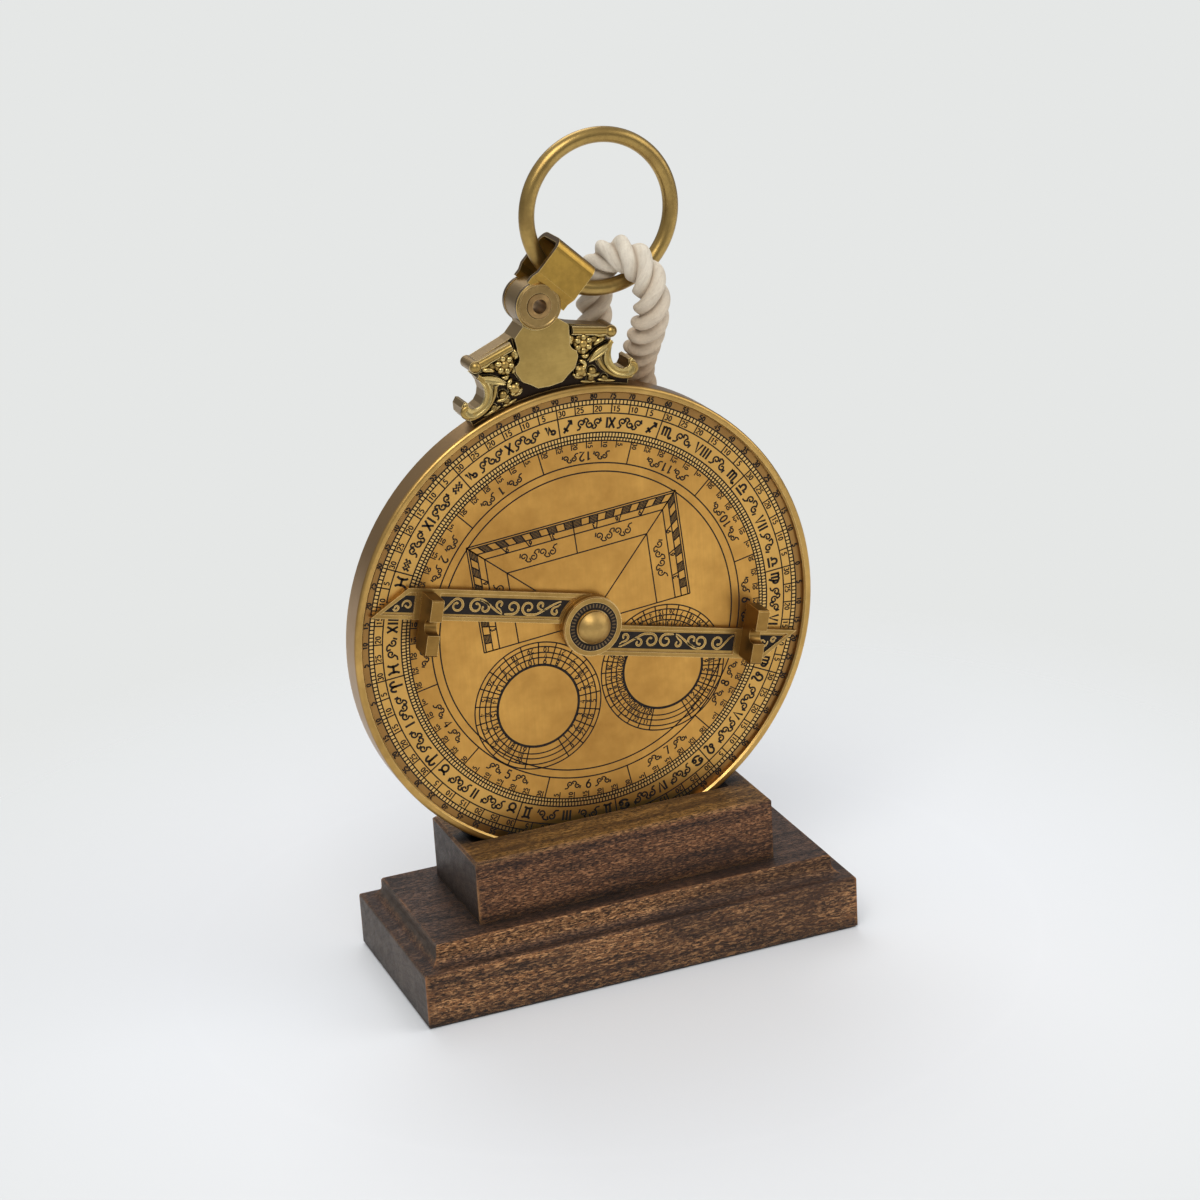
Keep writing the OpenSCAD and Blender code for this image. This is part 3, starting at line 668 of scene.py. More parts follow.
# The outermost band, between the rim circle and the case's wall, is a painted shade and reflection of that wall.
dial_brass = brass_finish(
    "dial brass", (0.70, 0.375, 0.088), (0.43, 0.21, 0.045), 0.3, (900, 900, 60), scale=17.0,
    bands=((R_DAYS, R_RIM, WARM, 0.6), (R_DAYS, R_SIGNS, PALE, 0.6),
           (R_DEGREES, R_RIM, PALE, 0.6), (R_RIM, 90.0, RIM_SHADE_BROWN, 0.65)))
plate_brass = brass_finish(
    "climate plate brass", (0.46, 0.27, 0.07), (0.30, 0.16, 0.04), 0.3, (900, 900, 60), scale=24.0)
limb_brass = brass_finish(
    "limb brass", (0.62, 0.38, 0.11), (0.44, 0.25, 0.065), 0.3, (900, 900, 60), scale=32.0)
case_brass = brass_finish(
    "case brass", (0.64, 0.39, 0.115), (0.40, 0.235, 0.065), 0.27, (300, 900, 300),
    bright=(0.98, 0.72, 0.30), side=(0.33, 0.19, 0.065), scale=30.0)
bar_brass = brass_finish(
    "alidade brass", (0.47, 0.285, 0.085), (0.32, 0.185, 0.05), 0.27, (200, 900, 900),
    bright=(0.9, 0.63, 0.27), scale=60.0, edge=0.0004, side=(0.30, 0.175, 0.05))
vane_brass = brass_finish(
    "vane brass", (0.36, 0.20, 0.05), (0.26, 0.14, 0.034), 0.3, (200, 900, 900),
    bright=(0.8, 0.54, 0.22), scale=60.0, edge=0.0004, side=(0.21, 0.12, 0.034))
pin_brass = brass_finish(
    "pin brass", (0.62, 0.40, 0.13), (0.44, 0.27, 0.085), 0.4, (60, 900, 900),
    bright=(0.95, 0.72, 0.36), scale=60.0, line_depth=0.3)
map_brass = brass_finish(
    "star map brass", (0.66, 0.44, 0.15), (0.46, 0.29, 0.09), 0.25, (200, 900, 900),
    bright=(0.95, 0.72, 0.36), scale=60.0, edge=0.0003)
bead_brass = brass_finish(
    "hub bead brass", (0.24, 0.16, 0.08), (0.14, 0.09, 0.045), 0.4, (300, 300, 300), scale=90.0)
cast_brass = brass_finish(
    "cast throne brass", (0.50, 0.335, 0.10), (0.36, 0.235, 0.068), 0.3, (200, 900, 1200),
    bright=(0.86, 0.66, 0.30), recess=PATINA_AND_SHADE_BLACK, reach=0.003, scale=70.0, edge=0.0005,
    side=(0.28, 0.185, 0.075), ground=(0.0024, 0.0042))
relief_brass = brass_finish(
    "chased relief brass", (0.70, 0.52, 0.20), (0.42, 0.30, 0.10), 0.22, (500, 500, 500),
    bright=(1.0, 0.80, 0.40), recess=PATINA_AND_SHADE_BLACK, reach=0.002, scale=160.0, edge=0.0004)
ring_brass = brass_finish(
    "ring brass", (0.47, 0.31, 0.095), (0.31, 0.195, 0.06), 0.28, (500, 500, 120), scale=90.0)
strap_brass = brass_finish(
    "shackle brass", (0.50, 0.30, 0.06), (0.30, 0.175, 0.038), 0.3, (900, 300, 60),
    bright=(0.9, 0.68, 0.28), side=(0.13, 0.08, 0.035), scale=60.0, edge=0.0004)
rivet_brass = brass_finish(
    "rivet brass", (0.44, 0.28, 0.11), (0.30, 0.18, 0.07), 0.3, (300, 300, 300),
    recess=PATINA_AND_SHADE_BLACK, reach=0.003, scale=90.0)
disc_brass = brass_finish(
    "rivet disc brass", (0.36, 0.235, 0.085), (0.25, 0.155, 0.055), 0.27, (400, 60, 400),
    bright=(0.85, 0.62, 0.28), side=(0.45, 0.30, 0.115), scale=80.0, edge=0.0003)
steel_finish = brass_finish(
    "screw steel", (0.5, 0.5, 0.5), (0.3, 0.3, 0.3), 0.35, (300, 300, 300), scale=90.0)


def paint_finish(name, colour, rough):
    """A plain dull finish, for the black filling of the engraving and for twine."""
    material, tree, shader = new_material(name)
    where = node(tree, "ShaderNodeTexCoord").outputs["Object"]
    cloud = place_group(tree, mottle, Vector=where, Light=colour, Dark=dimmed(colour, 0.55),
                        Scale=300.0)
    feed(tree, shader.inputs, Base_Color=cloud.outputs["Color"], Roughness=rough,
         Specular_IOR_Level=0.2)
    return material


black_filling = paint_finish("black filling", (0.022, 0.016, 0.012), 0.65)

# %% [markdown]
# The stand is a dark stained hardwood with open pores. The grain runs along the
# stand; where hands and cloths rubbed the edges, the stain is gone and an orange
# brown shows.

# %% Wood finish
PORE_BLACK, GRIME_AND_SHADE_BLACK = (0.010, 0.006, 0.004), (0.010, 0.007, 0.005)
grain, g_in, g_out = new_group("open pored grain",
    [("Vector", VECTOR, None), ("Light", COLOUR, None), ("Dark", COLOUR, None),
     ("Fleck", COLOUR, None)],
    [("Color", COLOUR), ("Height", VALUE), ("Mask", VALUE)])
wood_at = g_in.outputs["Vector"]
flow = noise(grain, stretched(grain, wood_at, (17, 210, 210)), 1.0, 5.0, 0.65)
flecks = noise(grain, stretched(grain, wood_at, (430, 1650, 1650)), 1.0, 3.0, 0.65)
pores = noise(grain, stretched(grain, wood_at, (620, 2300, 2300)), 1.0, 2.0, 0.6)
stain = noise(grain, wood_at, 22.0, 3.0, 0.6)
streak = ramp(grain, flow, 0.40, 0.60)
fleck_mask = times(grain, ramp(grain, flecks, 0.48, 0.60),
                   maths(grain, "ADD", times(grain, streak, 0.6), 0.3))
pore_mask = ramp(grain, pores, 0.50, 0.58)
wood_colour = mix_colour(grain, streak, g_in.outputs["Dark"], g_in.outputs["Light"])
wood_colour = mix_colour(grain, fleck_mask, wood_colour, g_in.outputs["Fleck"])
wood_colour = mix_colour(grain, times(grain, pore_mask, 0.85), wood_colour, PORE_BLACK)
wood_colour = mix_colour(grain, times(grain, ramp(grain, stain, 0.5, 0.68), 0.55), wood_colour,
                         g_in.outputs["Dark"])
feed(grain, g_out.inputs, Color=wood_colour, Height=maths(grain, "SUBTRACT", 1.0, pore_mask),
     Mask=streak)


def end_grain(tree, where):
    """Growth rings and pores of a sawn end: the rings are a sine of the distance from
    the log's heart below the board, made uneven by noise; the pores are fine specks."""
    off_heart = vector_maths(tree, "MULTIPLY_ADD", where, (0, 1, 1), (0, 0.035, 0.06))
    distance = vector_maths(tree, "LENGTH", off_heart.outputs["Vector"]).outputs["Value"]
    uneven = times(tree, noise(tree, where, 60.0, 3.0, 0.6), 9.0)
    wave = maths(tree, "SINE", maths(tree, "ADD", times(tree, distance, 1900.0), uneven))
    specks = noise(tree, where, 1300.0, 2.0, 0.6)
    return ramp(tree, wave, 0.1, 0.95), ramp(tree, specks, 0.56, 0.66)


def wood_finish(name, side, top, worn_colour, end_colour):
    """Stained wood: the grain group in one set of three colours for the sides and one
    for the faces that look up, rings and pores on the ends, grime and painted shade where
    pieces meet, patches of worn stain on the edges, and a low waxed gloss."""
    material, tree, shader = new_material(name)
    coordinates = node(tree, "ShaderNodeTexCoord")
    where, normal = coordinates.outputs["Object"], coordinates.outputs["Normal"]
    body, top_grain = (place_group(tree, grain, Vector=where, Light=light, Dark=dark, Fleck=fleck)
                    for light, dark, fleck in (side, top))
    # Faces that look up take their own grain colours.
    up_face = ramp(tree, object_axis(tree, normal, "Z"), 0.5, 0.9)
    end_face = ramp(tree, maths(tree, "ABSOLUTE", object_axis(tree, normal, "X")), 0.6, 0.9)
    colour = mix_colour(tree, up_face, body.outputs["Color"], top_grain.outputs["Color"])
    rings, pits = end_grain(tree, where)
    across = mix_colour(tree, times(tree, rings, 0.55), end_colour, dimmed(end_colour, 0.45))
    across = mix_colour(tree, times(tree, pits, 0.5), across, dimmed(end_colour, 1.9))
    colour = mix_colour(tree, times(tree, end_face, 0.9), colour, across)
    wear_and_highlight = place_group(tree, edges, Vector=where, Radius=0.0022, Breakup=170.0)
    patches = ramp(tree, noise(tree, where, 75.0, 3.0, 0.6), 0.42, 0.6)
    bare = times(tree, wear_and_highlight.outputs["Mask"], times(tree, patches, 0.75))
    colour = mix_colour(tree, bare, colour, worn_colour)
    # Grime and painted shade where the pieces meet, near black in the corners.
    grime_and_shade = place_group(tree, patina_and_shade, Reach=0.014)
    colour = mix_colour(tree, times(tree, grime_and_shade.outputs["Mask"], 2.6, clamp=True), colour,
                        GRIME_AND_SHADE_BLACK)
    gloss = maths(tree, "ADD", times(tree, body.outputs["Mask"], -0.1), 0.52)
    feed(tree, shader.inputs, Base_Color=colour, Roughness=gloss, Specular_IOR_Level=0.25)
    add_relief(tree, shader, body.outputs["Height"], 0.5, 0.0003)
    return material


base_wood = wood_finish(
    "plinth wood", ((0.215, 0.092, 0.034), (0.056, 0.026, 0.014), (0.64, 0.33, 0.135)),
    ((0.085, 0.042, 0.026), (0.030, 0.018, 0.014), (0.22, 0.115, 0.06)),
    (0.40, 0.17, 0.06), (0.062, 0.046, 0.034))
block_wood = wood_finish(
    "block wood", ((0.150, 0.061, 0.025), (0.040, 0.019, 0.012), (0.41, 0.19, 0.082)),
    ((0.23, 0.115, 0.032), (0.09, 0.045, 0.018), (0.42, 0.23, 0.075)),
    (0.46, 0.23, 0.09), (0.045, 0.032, 0.024))

# %% [markdown]
# The rope's fibres follow its strands. The piece carries its own map: one number
# counts millimetres along the rope, the other counts strands round it, so a
# pattern drawn in that map winds with the lay.

# %% Rope finish
def rope_finish(name, pale, low_shade, dark):
    """Matt fibre: paler where it lies over the ring and browner and darker further down, a
    painted light from above and painted warm shade below, with fine yarn lines and painted
    shade in the grooves between the strands."""
    material, tree, shader = new_material(name)
    along = node(tree, "ShaderNodeUVMap", uv_map="along").outputs["UV"]
    strand = maths(tree, "FRACT", maths(tree, "ADD", object_axis(tree, along, "Y"), 0.5))
    off_middle = maths(tree, "ABSOLUTE", maths(tree, "SUBTRACT", strand, 0.5))
    groove = ramp(tree, off_middle, 0.36, 0.5)
    yarn = noise(tree, stretched(tree, along, (0.5, 11.0, 1.0)), 1.0, 3.0, 0.6)
    where = node(tree, "ShaderNodeTexCoord").outputs["Object"]
    # Painted light and shade: paler high up over the ring, browner and darker lower down.
    lit_from_above = ramp(tree, object_axis(tree, where, "Z"), 0.212, 0.262)
    stained = place_group(tree, mottle, Vector=where, Light=mix_colour(tree, lit_from_above, low_shade, pale),
                          Dark=mix_colour(tree, lit_from_above, dimmed(low_shade, 0.75), dimmed(pale, 0.82)),
                          Scale=140.0)
    # Painted shade in the grooves between the strands.
    colour = mix_colour(tree, times(tree, groove, 0.6), stained.outputs["Color"], dark)
    colour = mix_colour(tree, times(tree, ramp(tree, yarn, 0.45, 0.7), 0.22), colour, dark)
    feed(tree, shader.inputs, Base_Color=colour, Roughness=0.85)
    add_relief(tree, shader, yarn, 0.4, 0.0004)
    return material


rope_fibre = rope_finish("rope fibre", (0.82, 0.74, 0.60), (0.66, 0.50, 0.335), (0.34, 0.22, 0.13))
twine_fibre = paint_finish("whipping twine", (0.62, 0.53, 0.40), 0.8)
for piece, fibre in ((rope_over, rope_fibre), (rope_under, rope_fibre), (whipping, twine_fibre)):
    piece.data.materials.append(fibre)

# %% [markdown]
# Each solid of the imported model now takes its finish. Small parts share the brass of
# the case; the alidade, its vanes and the pin each have their own shade.

# %% Finishes of the solids
FINISHES = {
    "stand_base": base_wood, "stand_block": block_wood, "stand_screws": steel_finish,
    "mater": case_brass, "limb_ring": limb_brass, "back_plate": dial_brass,
    "tympan_lower": plate_brass, "tympan_upper": plate_brass, "rete": map_brass, "rule": map_brass,
    "rule_washer": case_brass, "centre_pin": pin_brass, "wedge": case_brass,
    "alidade_washer": case_brass, "alidade": bar_brass, "vane_left": vane_brass,
    "vane_right": vane_brass, "vane_rivets": case_brass, "throne": cast_brass,
    "throne_pins": case_brass, "shackle": strap_brass, "shackle_rivet": rivet_brass,
    "ring": ring_brass}
for name, material in FINISHES.items():
    mesh = nodes[name].data
    mesh.materials.clear()
    mesh.materials.append(material)

# %% [markdown]
# Engraved lines are cut into the plate and filled with black wax. Here each line
# is a thin closed bar that stands three hundredths of a millimetre out of the
# plate, which reads the same and survives as real geometry.

# %% Lines of the engraving
PROUD, SUNK = 0.03, 0.03


def add_line(pile, points, width, out, turn=0.0, hidden=False, closed=False):
    """A flat bar along a path: left and right corners at half the width to each side
    of it, joined above and below the surface; width is one number or one per point."""
    p = np.asarray(points, float)
    if closed:
        p = p[:-1]
        ahead = np.roll(p, -1, 0) - np.roll(p, 1, 0)
    else:
        ahead = np.gradient(p, axis=0) if len(p) > 2 else np.repeat(p[1:] - p[:1], 2, 0)
    ahead = ahead / np.maximum(np.linalg.norm(ahead, axis=1), 1e-9)[:, None]
    normal = np.stack([-ahead[:, 1], ahead[:, 0]], -1) * np.reshape(width, (-1, 1)) / 2
    flat = np.stack([p + normal, p - normal, p - normal, p + normal], 1)
    depth = np.array([out + PROUD, out + PROUD, out - SUNK, out - SUNK])
    faces = hoop_faces(len(p), 4) if closed else [f[:, ::-1] for f in tube_faces(len(p), 4)]
    pile.add(on_face(flat, depth[None, :], turn, hidden), faces)


def add_ticks(pile, degrees, low, high, width, out, turn=0.0, hidden=False):
    """Many radial bars at once: eight corners each, from one radius to another."""
    a = np.radians(90 - np.asarray(degrees, float))[:, None]
    radial = np.concatenate([np.cos(a), np.sin(a)], 1)
    across = np.stack([-radial[:, 1], radial[:, 0]], -1) * width / 2
    inner, outer = radial * low, radial * high
    flat = np.stack([inner + across, outer + across, outer - across, inner - across] * 2, 1)
    depth = np.array([out + PROUD] * 4 + [out - SUNK] * 4)
    corners = on_face(flat, depth[None, :], turn, hidden)
    box = np.array([[0, 1, 2, 3], [7, 6, 5, 4], [0, 4, 5, 1], [1, 5, 6, 2], [2, 6, 7, 3],
                    [3, 7, 4, 0]])
    faces = (np.arange(len(corners)) * 8)[:, None, None] + box[None]
    pile.add(corners.reshape(-1, 3), [faces.reshape(-1, 4)])


# %% [markdown]
# The numbers are drawn as an engraver cuts them, one stroke after another. A
# figure is a list of strokes in a box one unit high, made of straight cuts and
# arcs; the signs of the zodiac are drawn the same way.

# %% Strokes of the figures and signs
def arc(x, y, rx, ry, start, end, count=9):
    """Points of an arc of an ellipse, as a stroke."""
    a = np.radians(np.linspace(start, end, count))
    return np.stack([x + rx * np.cos(a), y + ry * np.sin(a)], -1)


def cuts(*points):
    """Straight cuts from point to point, as one stroke."""
    return np.array(points, float)


def chain(*strokes):
    """Strokes joined end to end into one."""
    return np.concatenate(strokes)


# Figures stand on zero and are one high; signs lie round their own middle
FIGURES = {
    "0": [arc(.3, .5, .25, .48, 90, 450, 13)], "1": [cuts((.12, .78), (.34, 1), (.34, 0))],
    "2": [chain(arc(.3, .73, .25, .27, 165, -35, 8), cuts((.05, 0), (.58, 0)))],
    "3": [chain(arc(.28, .76, .23, .24, 150, -75, 7), arc(.28, .27, .27, .27, 75, -150, 8))],
    "4": [cuts((.44, 0), (.44, 1), (.03, .3), (.6, .3))],
    "5": [chain(cuts((.54, 1), (.14, 1), (.1, .56)), arc(.28, .31, .27, .31, 110, -150, 8))],
    "6": [chain(cuts((.46, 1), (.14, .62)), arc(.3, .3, .25, .3, 150, 510, 11))],
    "7": [cuts((.04, 1), (.58, 1), (.22, 0))],
    "8": [arc(.3, .76, .2, .24, 0, 360, 10), arc(.3, .26, .26, .26, 0, 360, 10)],
    "9": [chain(cuts((.14, 0), (.46, .38)), arc(.3, .7, .25, .3, -30, -390, 11))],
    "I": [cuts((.15, 0), (.15, 1))], "V": [cuts((0, 1), (.28, 0), (.56, 1))],
    "X": [cuts((0, 1), (.56, 0)), cuts((0, 0), (.56, 1))]}
# How far a figure moves the next one on, and the gap that this leaves
STEP = {"I": .34, "V": .72, "X": .72}
FIGURE_STEP, FIGURE_GAP = .78, .16

# The sixth and the eighth sign begin alike
TWO_STEMS = [cuts((-.42, .36), (-.34, .4), (-.34, -.3)),
             chain(arc(-.2, .26, .14, .12, 180, 0, 5), cuts((-.06, -.3)))]
LAST_ARCH = arc(.08, .26, .14, .12, 180, 0, 5)
SIGNS = [
    [cuts((0, -.5), (0, .05)), arc(-.2, .12, .2, .36, -20, 190, 9),
     arc(.2, .12, .2, .36, 200, -10, 9)],
    [arc(0, -.2, .28, .28, 90, 450, 13), arc(0, .42, .36, .34, 205, 335, 9)],
    [cuts((-.16, -.36), (-.16, .36)), cuts((.16, -.36), (.16, .36)),
     arc(0, .95, .62, .6, 236, 304, 7), arc(0, -.95, .62, .6, 56, 124, 7)],
    [arc(-.24, .1, .13, .13, 0, 360, 9), arc(-.02, .02, .42, .36, 158, 25, 9),
     arc(.24, -.1, .13, .13, 0, 360, 9), arc(.02, -.02, .42, .36, 338, 205, 9)],
    [arc(-.22, -.12, .13, .13, 0, 360, 9),
     chain(arc(.02, .14, .25, .3, 205, -10, 9), arc(.2, -.32, .14, .14, 120, 340, 7))],
    TWO_STEMS + [chain(LAST_ARCH, cuts((.22, -.1), (.02, -.5))),
                 arc(.28, .08, .15, .22, 120, -150, 8)],
    [cuts((-.42, -.32), (.42, -.32)),
     chain(cuts((-.42, -.04)), arc(0, .16, .22, .22, 235, -55, 9), cuts((.42, -.04)))],
    TWO_STEMS + [chain(LAST_ARCH, cuts((.22, -.3), (.32, -.4), (.46, -.28))),
                 cuts((.34, -.26), (.46, -.28), (.46, -.42))],
    [cuts((-.34, -.44), (.34, .42)), cuts((.06, .42), (.34, .42), (.34, .1)),
     cuts((-.3, -.04), (.04, -.36))],
    [chain(cuts((-.4, .34), (-.28, .3), (-.22, -.26), (-.04, .34), (.06, -.1)),
           arc(.2, -.16, .16, .15, 160, -180, 10))],
    [cuts((-.44, .02), (-.26, .26), (-.12, .06), (.06, .3), (.2, .08), (.4, .3)),
     cuts((-.44, -.24), (-.26, 0), (-.12, -.2), (.06, .04), (.2, -.18), (.4, .04))],
    [arc(-.52, 0, .3, .5, -62, 62, 9), arc(.52, 0, .3, .5, 118, 242, 9),
     cuts((-.34, 0), (.34, 0))]]


def set_strokes(strokes, middle, height, turn):
    """Strokes scaled to a height, turned, and set down with their origin at middle."""
    return [turned(np.asarray(s) * height, turn) + np.asarray(middle) for s in strokes]


def figure_strokes(text):
    """The strokes of a number, centred on the origin and one unit high."""
    x, strokes = 0.0, []
    for sign in text:
        strokes += [s + (x, 0) for s in FIGURES[sign]]
        x += STEP.get(sign, FIGURE_STEP)
    return [s - ((x - FIGURE_GAP) / 2, .5) for s in strokes]


def add_number(pile, text, degrees, r, height, width, turn=0.0, spin=0.0, centre=(0, 0)):
    """A number on a circle: its middle at r, its top turned outwards and then by spin."""
    a = math.radians(90 - degrees)
    middle = (centre[0] + r * math.cos(a), centre[1] + r * math.sin(a))
    for stroke in set_strokes(figure_strokes(text), middle, height, -degrees + spin):
        add_line(pile, stroke, width, DIAL_OUT, turn)


# %% [markdown]
# The scales of the dial, from the rim inwards: altitude numbers, a degree ladder,
# thirty degrees for each sign, the signs, two more ladders for the days, and the
# months. They are turned five degrees, as the case leans in its slot.

# %% Scales round the dial
def add_ladder(pile, low, high, count, width, out, turn, hidden=False):
    """Radial bars at even steps all the way round, between two radii."""
    add_ticks(pile, np.arange(count) * 360 / count, low, high, width, out, turn, hidden)


rings_pile, scale_pile, sign_pile = Pile(), Pile(), Pile()
for r, width in ((R_RIM, .5), (R_DEGREES, .48), (R_PARTS, .5), (R_SIGNS, .52), (R_SUN, .48),
                 (R_DAYS, .5), (R_MONTHS, .52), (R_PLAIN, .52)):
    add_line(rings_pile, circle(r, 240), width, DIAL_OUT, closed=True)
for low, high, count, width in ((R_DEGREES, R_RIM, 360, .46), (R_SUN, R_SIGNS, 360, .44),
                                (R_DAYS, R_SUN, 365, .44), (R_PARTS, R_DEGREES, 72, .48),
                                (R_SIGNS, R_PARTS, 12, .5)):
    add_ladder(rings_pile, low, high, count, width, DIAL_OUT, LEAN_DIAL)
R_ALTITUDES, R_DAY_NUMBERS, DAY_TICK = 83.75, 66.15, 2.5
for k in range(72):
    degrees = k * 5.0
    altitude, part = abs(int(90 - degrees % 180)), int(30 - degrees % 30)
    add_number(scale_pile, str(altitude), degrees, R_ALTITUDES, 1.75, .54, LEAN_DIAL)
    add_number(scale_pile, str(part), degrees + 1.35, (R_PARTS + R_DEGREES) / 2, 1.9, .48,
               LEAN_DIAL)
MONTH_DAYS = np.array([31, 28, 31, 30, 31, 30, 31, 31, 30, 31, 30, 31])
NEW_YEAR_AT, DAY_STEP = 352.2, 360 / MONTH_DAYS.sum()
month_ends = NEW_YEAR_AT - np.concatenate([[0], np.cumsum(MONTH_DAYS)]) * DAY_STEP
add_ticks(scale_pile, month_ends[:-1], R_MONTHS, R_DAYS, .48, DIAL_OUT, LEAN_DIAL)
for first, days in zip(month_ends, MONTH_DAYS):
    for day in range(5, 31, 5):
        here = first - day * DAY_STEP
        if day < days:
            add_ticks(scale_pile, [here], R_DAYS - DAY_TICK, R_DAYS, .42, DIAL_OUT, LEAN_DIAL)
        add_number(scale_pile, str(day), here + 1.2, R_DAY_NUMBERS, 1.6, .44, LEAN_DIAL, spin=-90)

# %% [markdown]
# Small scrolls run between the signs, and beside the numbers of the months. A
# scroll is drawn flat, as curls side by side, and then bent round the dial: its
# length becomes an angle and its height a distance from the centre.

# %% Signs and months
def curl(x, y, r, start, turns, count=18):
    """A spiral stroke: the radius shrinks steadily to a quarter while the angle runs."""
    t = np.linspace(0, 1, count)
    a = np.radians(start) + 2 * math.pi * turns * t
    shrinking = r * (1 - .75 * t)
    return np.stack([x + shrinking * np.cos(a), y + shrinking * np.sin(a)], -1)


def running_scroll(units, width, height):
    """A band of curls that grow in turn from below and from above, with a leaf between."""
    strokes = []
    for k in range(units):
        x, way = (k - (units - 1) / 2) * width, 1 if k % 2 else -1
        rise, r = way * height, min(height * .34, width * .5)
        strokes += [curl(x, -rise * .1, r, way * 100, way * 1.2),
                    cuts((x - width * .62, rise * .46), (x - width * .3, rise * .42),
                         (x - width * .12, rise * .2)),
                    cuts((x + width * .3, -rise * .46), (x + width * .42, -rise * .1))]
    return strokes


def bend(strokes, degrees, r, upside=False):
    """Flat strokes laid round a circle: x runs along it, y out from it."""
    side = -1 if upside else 1
    bent = []
    for s in strokes:
        s = np.asarray(s, float)
        reach, a = r + side * s[:, 1], np.radians(90 - degrees) - side * s[:, 0] / r
        bent.append(np.stack([reach * np.cos(a), reach * np.sin(a)], -1))
    return bent


def add_strokes(pile, strokes, width, turn=LEAN_DIAL, out=DIAL_OUT, hidden=False):
    """A line for each stroke."""
    for s in strokes:
        add_line(pile, s, width, out, turn, hidden)


ROMAN = ["I", "II", "III", "IV", "V", "VI", "VII", "VIII", "IX", "X", "XI", "XII"]
FIRST_SIGN_AT, SIGN_HEIGHT, NUMBER_HEIGHT, MONTH_HEIGHT = 255.0, 4.7, 3.9, 3.2
R_SIGN_MIDDLE, R_MONTH_NUMBERS = (R_SIGNS + R_PARTS) / 2, 62.2
# A scroll fills the room up to this many degrees from the number's middle
SCROLL_END, MM_PER_DEGREE = 9.7, math.radians(74.0)
for k in range(12):
    middle = FIRST_SIGN_AT - 30 * k
    half_number = 1.1 + 0.95 * len(ROMAN[k])
    room = SCROLL_END * MM_PER_DEGREE - half_number
    units = 3 if room > 9 else 2
    scroll_at = (half_number + room / 2) / MM_PER_DEGREE
    scroll = running_scroll(units, room / units * .96, 4.2)
    sign = [s * SIGN_HEIGHT for s in SIGNS[k]]
    for side in (-1, 1):
        add_strokes(sign_pile, bend(sign, middle + side * 12.5, R_SIGN_MIDDLE), .86)
        add_strokes(sign_pile, bend(scroll, middle + side * scroll_at, R_SIGN_MIDDLE), .66)
    number = [s * NUMBER_HEIGHT for s in figure_strokes(ROMAN[k])]
    add_strokes(sign_pile, bend(number, middle, R_SIGN_MIDDLE), .82)
for k, (first, last) in enumerate(zip(month_ends[:-1], month_ends[1:])):
    middle = (first + last) / 2
    number = [s * MONTH_HEIGHT for s in figure_strokes(str(k + 1))]
    add_strokes(sign_pile, bend(number, middle, R_MONTH_NUMBERS, True), .66)
    for side in (-1, 1):
        scroll = bend(running_scroll(2, 3.0, MONTH_HEIGHT), middle + side * 5.4,
                      R_MONTH_NUMBERS, True)
        add_strokes(sign_pile, scroll, .52)
rings_pile.piece("dial_rings", black_filling, "astrolabe")
scale_pile.piece("dial_numbers", black_filling, "astrolabe")
sign_pile.piece("dial_signs", black_filling, "astrolabe")

# %% [markdown]
# The shadow square turns a sighted height into a ratio. Its cells are bounded by
# lines that all point at the pivot, so they lean more and more towards the corners.

# %% Shadow square
square_pile = Pile()
HALF = 40.2
# Borders, in from the square's edge: the edge, cells from and to, their numbers, the scrolls
EDGE, CELLS_OUT, CELLS_IN, NUMBERS_IN, SCROLLS_IN = 0.0, 0.8, 3.4, 5.9, 13.2


def square_line(a, b, width=.48):
    """A straight line of the shadow square."""
    add_line(square_pile, cuts(a, b), width, DIAL_OUT, LEAN_SQUARE)


for inset in (EDGE, CELLS_OUT, CELLS_IN, NUMBERS_IN, SCROLLS_IN):
    h = HALF - inset
    square_line((-h, 0), (-h, h))
    square_line((-h, h), (h, h))
    square_line((h, h), (h, 0))
square_line((-HALF, 0), (HALF, 0))
for side in (-1, 1):
    square_line((side * HALF, HALF), (0, 0))
outer = HALF - CELLS_OUT
for k in range(-12, 13):
    inner = HALF - (NUMBERS_IN if k % 3 == 0 else CELLS_IN)
    low_end = HALF - SCROLLS_IN if k == 0 else inner
    square_line((outer * k / 12, outer), (low_end * k / 12, low_end), .46)
    if 0 <= k < 12:
        for side in (-1, 1):
            square_line((side * outer, outer * k / 12), (side * inner, inner * k / 12), .46)


def hatch(k, top, side):
    """Four fine lines fill one cell of the square's scale, along its top or on a side."""
    for share in np.linspace(0.2, 0.8, 4):
        h = outer - (CELLS_IN - CELLS_OUT) * share
        near, far = h * k / 12, h * (k + 1) / 12
        if top:
            square_line((side * near, h), (side * far, h), .42)
        else:
            square_line((side * h, near), (side * h, far), .42)


for k in range(0, 12, 2):
    for side in (1, -1):
        hatch(k, True, side)
        hatch(k + 1, False, side)
h = HALF - (CELLS_IN + NUMBERS_IN) / 2
for k in (3, 6, 9):
    for spot, spin in (((h * k / 12 - 1.1, h), 180), ((-h * k / 12 + 1.1, h), 180),
                       ((h, h * k / 12 - 1.2), 90), ((-h, h * k / 12 - 1.2), -90)):
        number = set_strokes(figure_strokes(str(k)), spot, 1.7, spin)
        add_strokes(square_pile, number, .46, LEAN_SQUARE)
scroll_in = HALF - 9.5
for spot, spin in (((-14.5, scroll_in), 180), ((14.5, scroll_in), 180),
                   ((scroll_in, 16.5), 90), ((-scroll_in, 16.5), -90)):
    scroll = set_strokes(running_scroll(4, 3.6, 4.2), spot, 1.0, spin)
    add_strokes(square_pile, scroll, .5, LEAN_SQUARE)
square_pile.piece("shadow_square", black_filling, "astrolabe")

# %% [markdown]
# Two round tables for finding the moon's age and the Sunday letter sit below the
# square. Each is a set of circles cut into equal sectors by lines to its middle,
# with one wider sector left bare.

